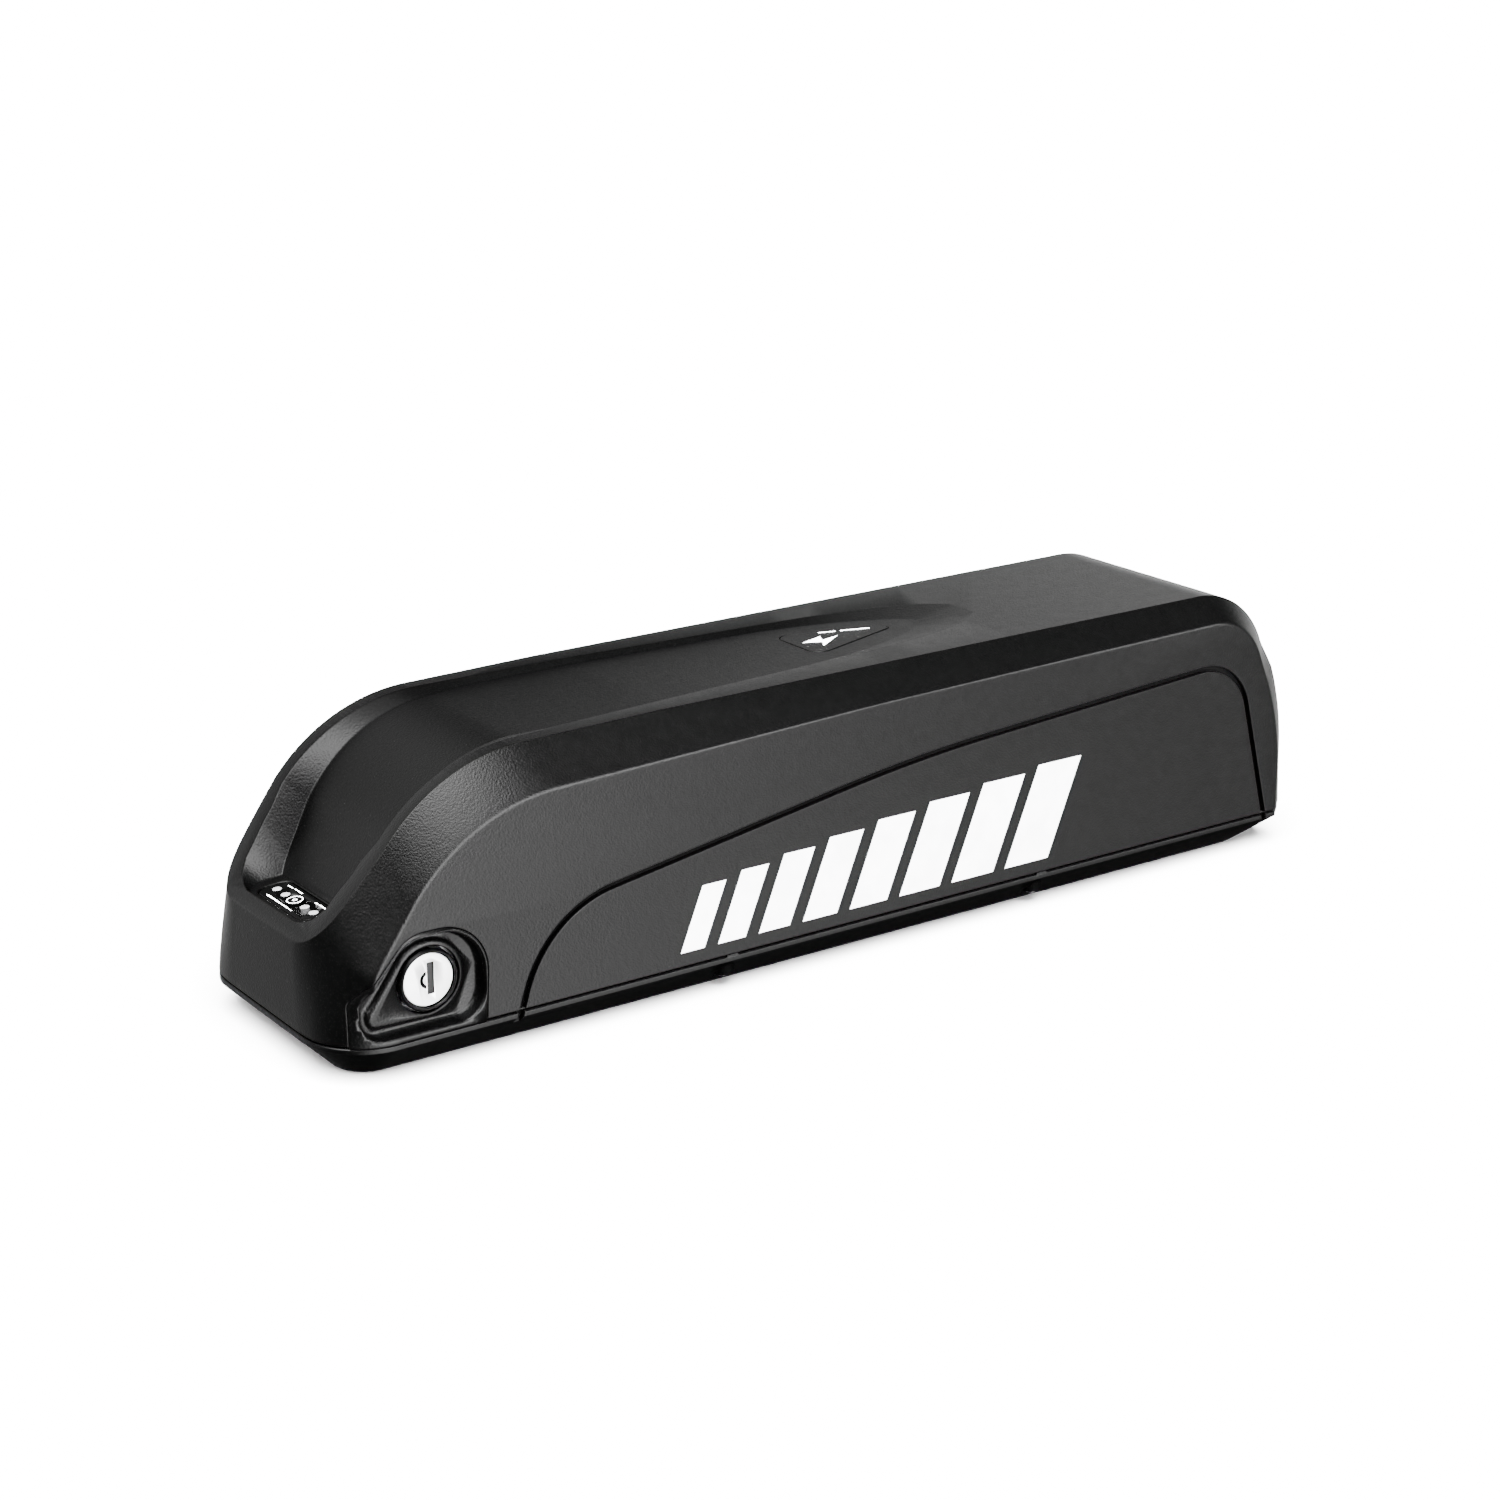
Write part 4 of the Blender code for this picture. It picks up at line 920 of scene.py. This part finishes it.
def power_switch():
    low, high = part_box("switch_body")
    half_y, half_z = high.y, high.z - SWITCH_Z
    rows = []
    for x, growth in ((low.x, 0.0), (high.x - 0.0004, 0.0), (high.x, -0.0004)):
        outline = closed_outline(grow((
            (-half_y, -half_z, 0.0012), (-half_y, half_z, 0.0012),
            (half_y, half_z, 0.0012), (half_y, -half_z, 0.0012)), growth), 6)
        rows.append([(x, y, SWITCH_Z + z) for y, z in outline])
    body = loft("switch_frame", rows, "black")
    cut(body, box("pocket", (0.3600, -0.0083, SWITCH_Z - 0.0059),
                  (0.3710, 0.0083, SWITCH_Z + 0.0059), "black"))
    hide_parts("switch_body")
    keep(body, "case")
    outline = closed_outline((
        (0.3628, -0.0050, 0.0008), (0.3628, 0.0050, 0.0008), (0.3688, 0.0050, 0.0008),
        (0.3676, 0.0000, 0.0060), (0.3688, -0.0050, 0.0008)), 10)
    rows = []
    for y, shrink in ((-0.0080, 0.0003), (-0.0077, 0.0), (0.0077, 0.0), (0.0080, 0.0003)):
        rows.append([
            (x - ROCKER_X - (shrink if x > 0.366 else 0), y, z * (1 - shrink / 0.005))
            for x, z in outline])
    rocker = loft("rocker", rows, "gloss")
    rows = [[(x, y, z + 0.0026) for y, z in ON_MARK] for x in (0.00262, 0.00295)]
    bar = loft("on_mark", rows, "ink")
    place = Matrix.Translation((nose(ROCKER_X), 0, SWITCH_Z)) @ Matrix.Rotation(ROCKER_REST, 4, "Y")
    for piece in (rocker, bar):
        piece.data.transform(place)
    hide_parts("switch_rocker")
    keep(rocker, "rocker")
    keep(bar, "rocker")


# ---------------------------------------------------------------- shells

def upper_shell():
    shell = outer_form()
    cut(shell, case_form("cavity", CAVITY, HALF_WIDTH - WALL, edge_r=0.0004, pieces=4))
    pocket = badge_slab("badge_pocket", BADGE, ((-0.0007, BADGE_GAP), (0.0015, BADGE_GAP)), "shell")
    cut(shell, scoop(), pocket, *panel_cutters())
    for side in (-1, 1):
        hole = [(closed_outline(grow(BEZEL, FIT), 16), depth) for depth in (0.0090, -0.0020)]
        cut(shell, side_loft("bezel_hole", hole, side, "black"), groove(side))
    low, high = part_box("switch_body")
    switch_hole = box("switch_hole", (0.3600, low.y - FIT, low.z - FIT),
                      (0.3720, high.y + FIT, high.z + FIT), "black")
    cut(shell, switch_hole, box("trim", (-0.01, -0.06, 0.0), (0.38, 0.06, PARTING), "shell"))
    shade(shell)
    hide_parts("upper_shell")
    keep(shell, "case")


def plan_ring(inset, corner_r, tail_inset, z, steps=24):
    """The case's outline from above at a height, moved in at the sides and at the tail."""
    half = HALF_WIDTH - inset
    tail = 0.370 - tail_inset
    step = 0.0078
    corners = (
        (inset, -half, corner_r), (inset, half, corner_r),
        (tail - step, half, 0.0012), (tail, half - step * 0.85, 0.0012),
        (tail, -half + step * 0.85, 0.0012), (tail - step, -half, 0.0012))
    return [(nose(x), y, z) for x, y in closed_outline(corners, steps)]


SCREWS = [(x, side * 0.0394) for x in (0.1340, 0.2565) for side in (-1, 1)]


def lower_shell():
    brim = 0.0098
    rows = [
        plan_ring(0.0112, 0.0090, 0.0155, 0.0),
        plan_ring(0.0098, 0.0100, 0.0141, 0.0003),
        plan_ring(0.0086, 0.0106, 0.0128, 0.0012),
        plan_ring(0.0003, 0.0197, 0.0003, brim - 0.0002),
        plan_ring(0.0000, 0.0200, 0.0000, brim),
        plan_ring(0.0000, 0.0200, 0.0000, LOWER_TOP - 0.0003),
        plan_ring(0.0003, 0.0197, 0.0003, LOWER_TOP),
    ]
    shell = loft("case_bottom", rows, "under")
    # The band above the brim keeps the case finish; the faces below it keep the copy without reflection, as
    # painted shade
    shell.data.materials.append(MATERIALS["shell"])
    for face in shell.data.polygons:
        if face.center.z > brim:
            face.material_index = 1
    cut(shell, loft("hollow", [
        plan_ring(0.0125, 0.0080, 0.0168, WALL, 6),
        plan_ring(WALL, 0.0172, WALL, brim + 0.0006, 6),
        plan_ring(WALL, 0.0172, WALL, 0.0130, 6)], "under"))
    roof = 0.0100
    join(shell, box("tunnel", (0.0192, -0.0198, 0.0005), (0.3528, 0.0198, roof), "under"))
    cut(shell,
        box("channel", (0.022, -0.017, 0.0025), (0.350, 0.017, 0.0075), "under"),
        box("mouth", (0.022, -0.013, -0.001), (0.350, 0.013, 0.0035), "under"))
    for x in (0.070, 0.190, 0.300):
        cut(shell, box("entry", (x, -0.017, -0.001), (x + 0.014, 0.017, 0.0035), "under"))
    for x, y in SCREWS:
        spot = (nose(x), y, 0)
        join(shell, turned("boss", ((0.0045, 0.0036), (LOWER_TOP, 0.0036)), spot, (0, 0, 1), "under", 32))
        cut(shell,
            turned("counterbore", ((-0.001, 0.0035), (0.0062, 0.0035)), spot, (0, 0, 1), "under", 40),
            turned("pilot", ((0.0, 0.0016), (0.0130, 0.0016)), spot, (0, 0, 1), "under", 24))
    for side in (-1, 1):
        cut(shell, groove(side))
        for x in (0.1340, 0.2565):
            ys = sorted((side * 0.0438, side * 0.0448))
            join(shell, box("tab", (x - 0.002, ys[0], LOWER_TOP - 0.0005),
                            (x + 0.002, ys[1], LOWER_TOP + 0.0005), "shell"))
        leg = side * 0.006
        cut(shell, box("leg_slot", (0.3423, leg - 0.0010, 0.006),
                       (0.3451, leg + 0.0010, 0.012), "under"))
    cut(shell, box("bolt_hole", (0.0334, -0.0161, 0.006), (0.0396, -0.0099, 0.012), "under"))
    shade(shell)
    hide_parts("lower_shell")
    keep(shell, "case")


# Plain slanted bars printed on each side panel: foot x, foot z, width, height
BARS = (
    (0.1150, 0.0165, 0.0085, 0.0200),
    (0.1285, 0.0165, 0.0100, 0.0218),
    (0.1435, 0.0165, 0.0115, 0.0236),
    (0.1600, 0.0165, 0.0130, 0.0254),
    (0.1780, 0.0165, 0.0145, 0.0272),
    (0.1975, 0.0165, 0.0160, 0.0290),
    (0.2185, 0.0165, 0.0170, 0.0308),
    (0.2405, 0.0165, 0.0180, 0.0326),
)
BAR_LEAN = 0.40


def side_marks():
    for side in (-1, 1):
        for x, z, width, height in BARS:
            lean = height * BAR_LEAN
            corners = ((x, z), (x + lean, z + height), (x + lean + width, z + height), (x + width, z))
            rows = [(corners, 0.0002), (corners, -PRINT)]
            keep(side_loft("panel_bar", rows, side, "ink"), "case")


# ---------------------------------------------------------------- carried-over nodes

SLOT_LOOKS = {
    "shell": "shell", "black_plastic": "black", "rubber": "rubber", "steel": "steel", "nickel": "nickel",
    "brass": "brass", "cell": "cell", "holder": "holder", "board": "board", "aluminium": "aluminium",
    "red_lead": "red_lead", "foam": "foam",
}


def dress_nodes():
    slots = {part["node"]: part["material_slot"] for part in frame["record"]["subparts"]}
    for name, obj in frame["nodes"].items():
        obj.data.materials.clear()
        obj.data.materials.append(MATERIALS[SLOT_LOOKS[slots[name]]])


# ---------------------------------------------------------------- floor, lights, camera

def sun_light(name, direction, strength, spread):
    """A very wide sun, so that its shadows are soft and the floor is even."""
    data = bpy.data.lights.new(name, "SUN")
    data.energy = strength
    data.angle = math.radians(spread)
    light = bpy.data.objects.new(name, data)
    light.rotation_euler = Vector(direction).to_track_quat("Z", "Y").to_euler()
    bpy.context.scene.collection.objects.link(light)
    light.visible_glossy = False


# Soft boxes of the studio: azimuth from +X, elevation, half angles at full and no strength, level
SOFT_BOXES = (
    (-86, -28, 14, 36, 6.2),
    (-82, 8, 8, 24, 16.0),
    (-98, 42, 8, 22, 4.0),
    (-114, 63, 12, 27, 18.0),
    (-168, 50, 10, 25, 14.0),
    (100, 78, 10, 28, 2.0),
    (-35, -5, 15, 45, 0.6),
    (108, 20, 14, 42, 0.8),
    (130, -24, 20, 50, 0.4),
    (38, 14, 8, 22, 0.65),
    (30, -3, 6, 20, 1.3),
    (-56, 8, 4, 13, 22.0),
    (-22, 52, 6, 26, 0.15),
    (62, -20, 14, 38, 0.9),
)
AMBIENT = 0.10


def environment():
    """Soft boxes round the object, as smooth patches of the surrounding light."""
    world = bpy.data.worlds.new("studio")
    world.use_nodes = True
    nodes, links = world.node_tree.nodes, world.node_tree.links
    coords = nodes.new("ShaderNodeTexCoord")
    total = None
    for azimuth, elevation, inner, outer, level in SOFT_BOXES:
        turn, lift = math.radians(azimuth), math.radians(elevation)
        facing = nodes.new("ShaderNodeVectorMath")
        facing.operation = "DOT_PRODUCT"
        facing.inputs[1].default_value = (
            math.cos(turn) * math.cos(lift), math.sin(turn) * math.cos(lift), math.sin(lift))
        links.new(coords.outputs["Generated"], facing.inputs[0])
        patch = nodes.new("ShaderNodeMapRange")
        patch.interpolation_type = "SMOOTHSTEP"
        patch.inputs["From Min"].default_value = math.cos(math.radians(outer))
        patch.inputs["From Max"].default_value = math.cos(math.radians(inner))
        patch.inputs["To Max"].default_value = level
        links.new(facing.outputs["Value"], patch.inputs["Value"])
        add = nodes.new("ShaderNodeMath")
        add.inputs[1].default_value = AMBIENT
        if total:
            links.new(total, add.inputs[1])
        links.new(patch.outputs["Result"], add.inputs[0])
        total = add.outputs["Value"]
    nodes["Background"].inputs["Color"].default_value = (1.0, 1.0, 1.0, 1.0)
    links.new(total, nodes["Background"].inputs["Strength"])
    bpy.context.scene.world = world


PAPER = (0.92, 0.92, 0.92, 1.0)
WALL_GLOW = 16.0


def paper(name, glow=0.0):
    """Plain matt white, which may shine by itself."""
    material = bpy.data.materials.new(name)
    material.use_nodes = True
    shader = material.node_tree.nodes["Principled BSDF"]
    shader.inputs["Base Color"].default_value = PAPER
    shader.inputs["Roughness"].default_value = 0.9
    shader.inputs["Specular IOR Level"].default_value = 0.0
    shader.inputs["Emission Color"].default_value = PAPER
    shader.inputs["Emission Strength"].default_value = glow
    return material


def floor_sheet():
    bpy.ops.mesh.primitive_plane_add(size=60.0, location=(0, 0, 0))
    sheet = bpy.context.object
    sheet.name = "floor"
    sheet.visible_glossy = False
    sheet.data.materials.append(paper("floor_paper"))


def wall_sheet():
    """A far white wall that closes the view above the floor and lights nothing."""
    bpy.ops.mesh.primitive_cylinder_add(vertices=96, radius=12.0, depth=40.0, end_fill_type="NOTHING")
    sheet = bpy.context.object
    sheet.name = "backdrop"
    sheet.visible_glossy = False
    sheet.visible_diffuse = False
    sheet.visible_shadow = False
    sheet.data.materials.append(paper("wall_paper", WALL_GLOW))


def studio():
    floor_sheet()
    wall_sheet()
    environment()
    sun_light("fill", (-0.15, -0.30, 0.95), 52.0, 60)


LENS_MM = 68.6
CAMERA_PLACE = (-0.5086, -0.7024, 0.3392)
CAMERA_TURN = math.radians(-35.20)
CAMERA_DIP = math.radians(18.14)


def camera():
    data = bpy.data.cameras.new("camera")
    data.lens = LENS_MM
    data.sensor_width = 36
    obj = bpy.data.objects.new("camera", data)
    obj.location = CAMERA_PLACE
    obj.rotation_euler = (math.pi / 2 - CAMERA_DIP, 0, CAMERA_TURN)
    bpy.context.scene.collection.objects.link(obj)
    bpy.context.scene.camera = obj


upper_shell()
lower_shell()
indicator()
badge()
lock()
port()
power_switch()
side_marks()
dress_nodes()
studio()
camera()
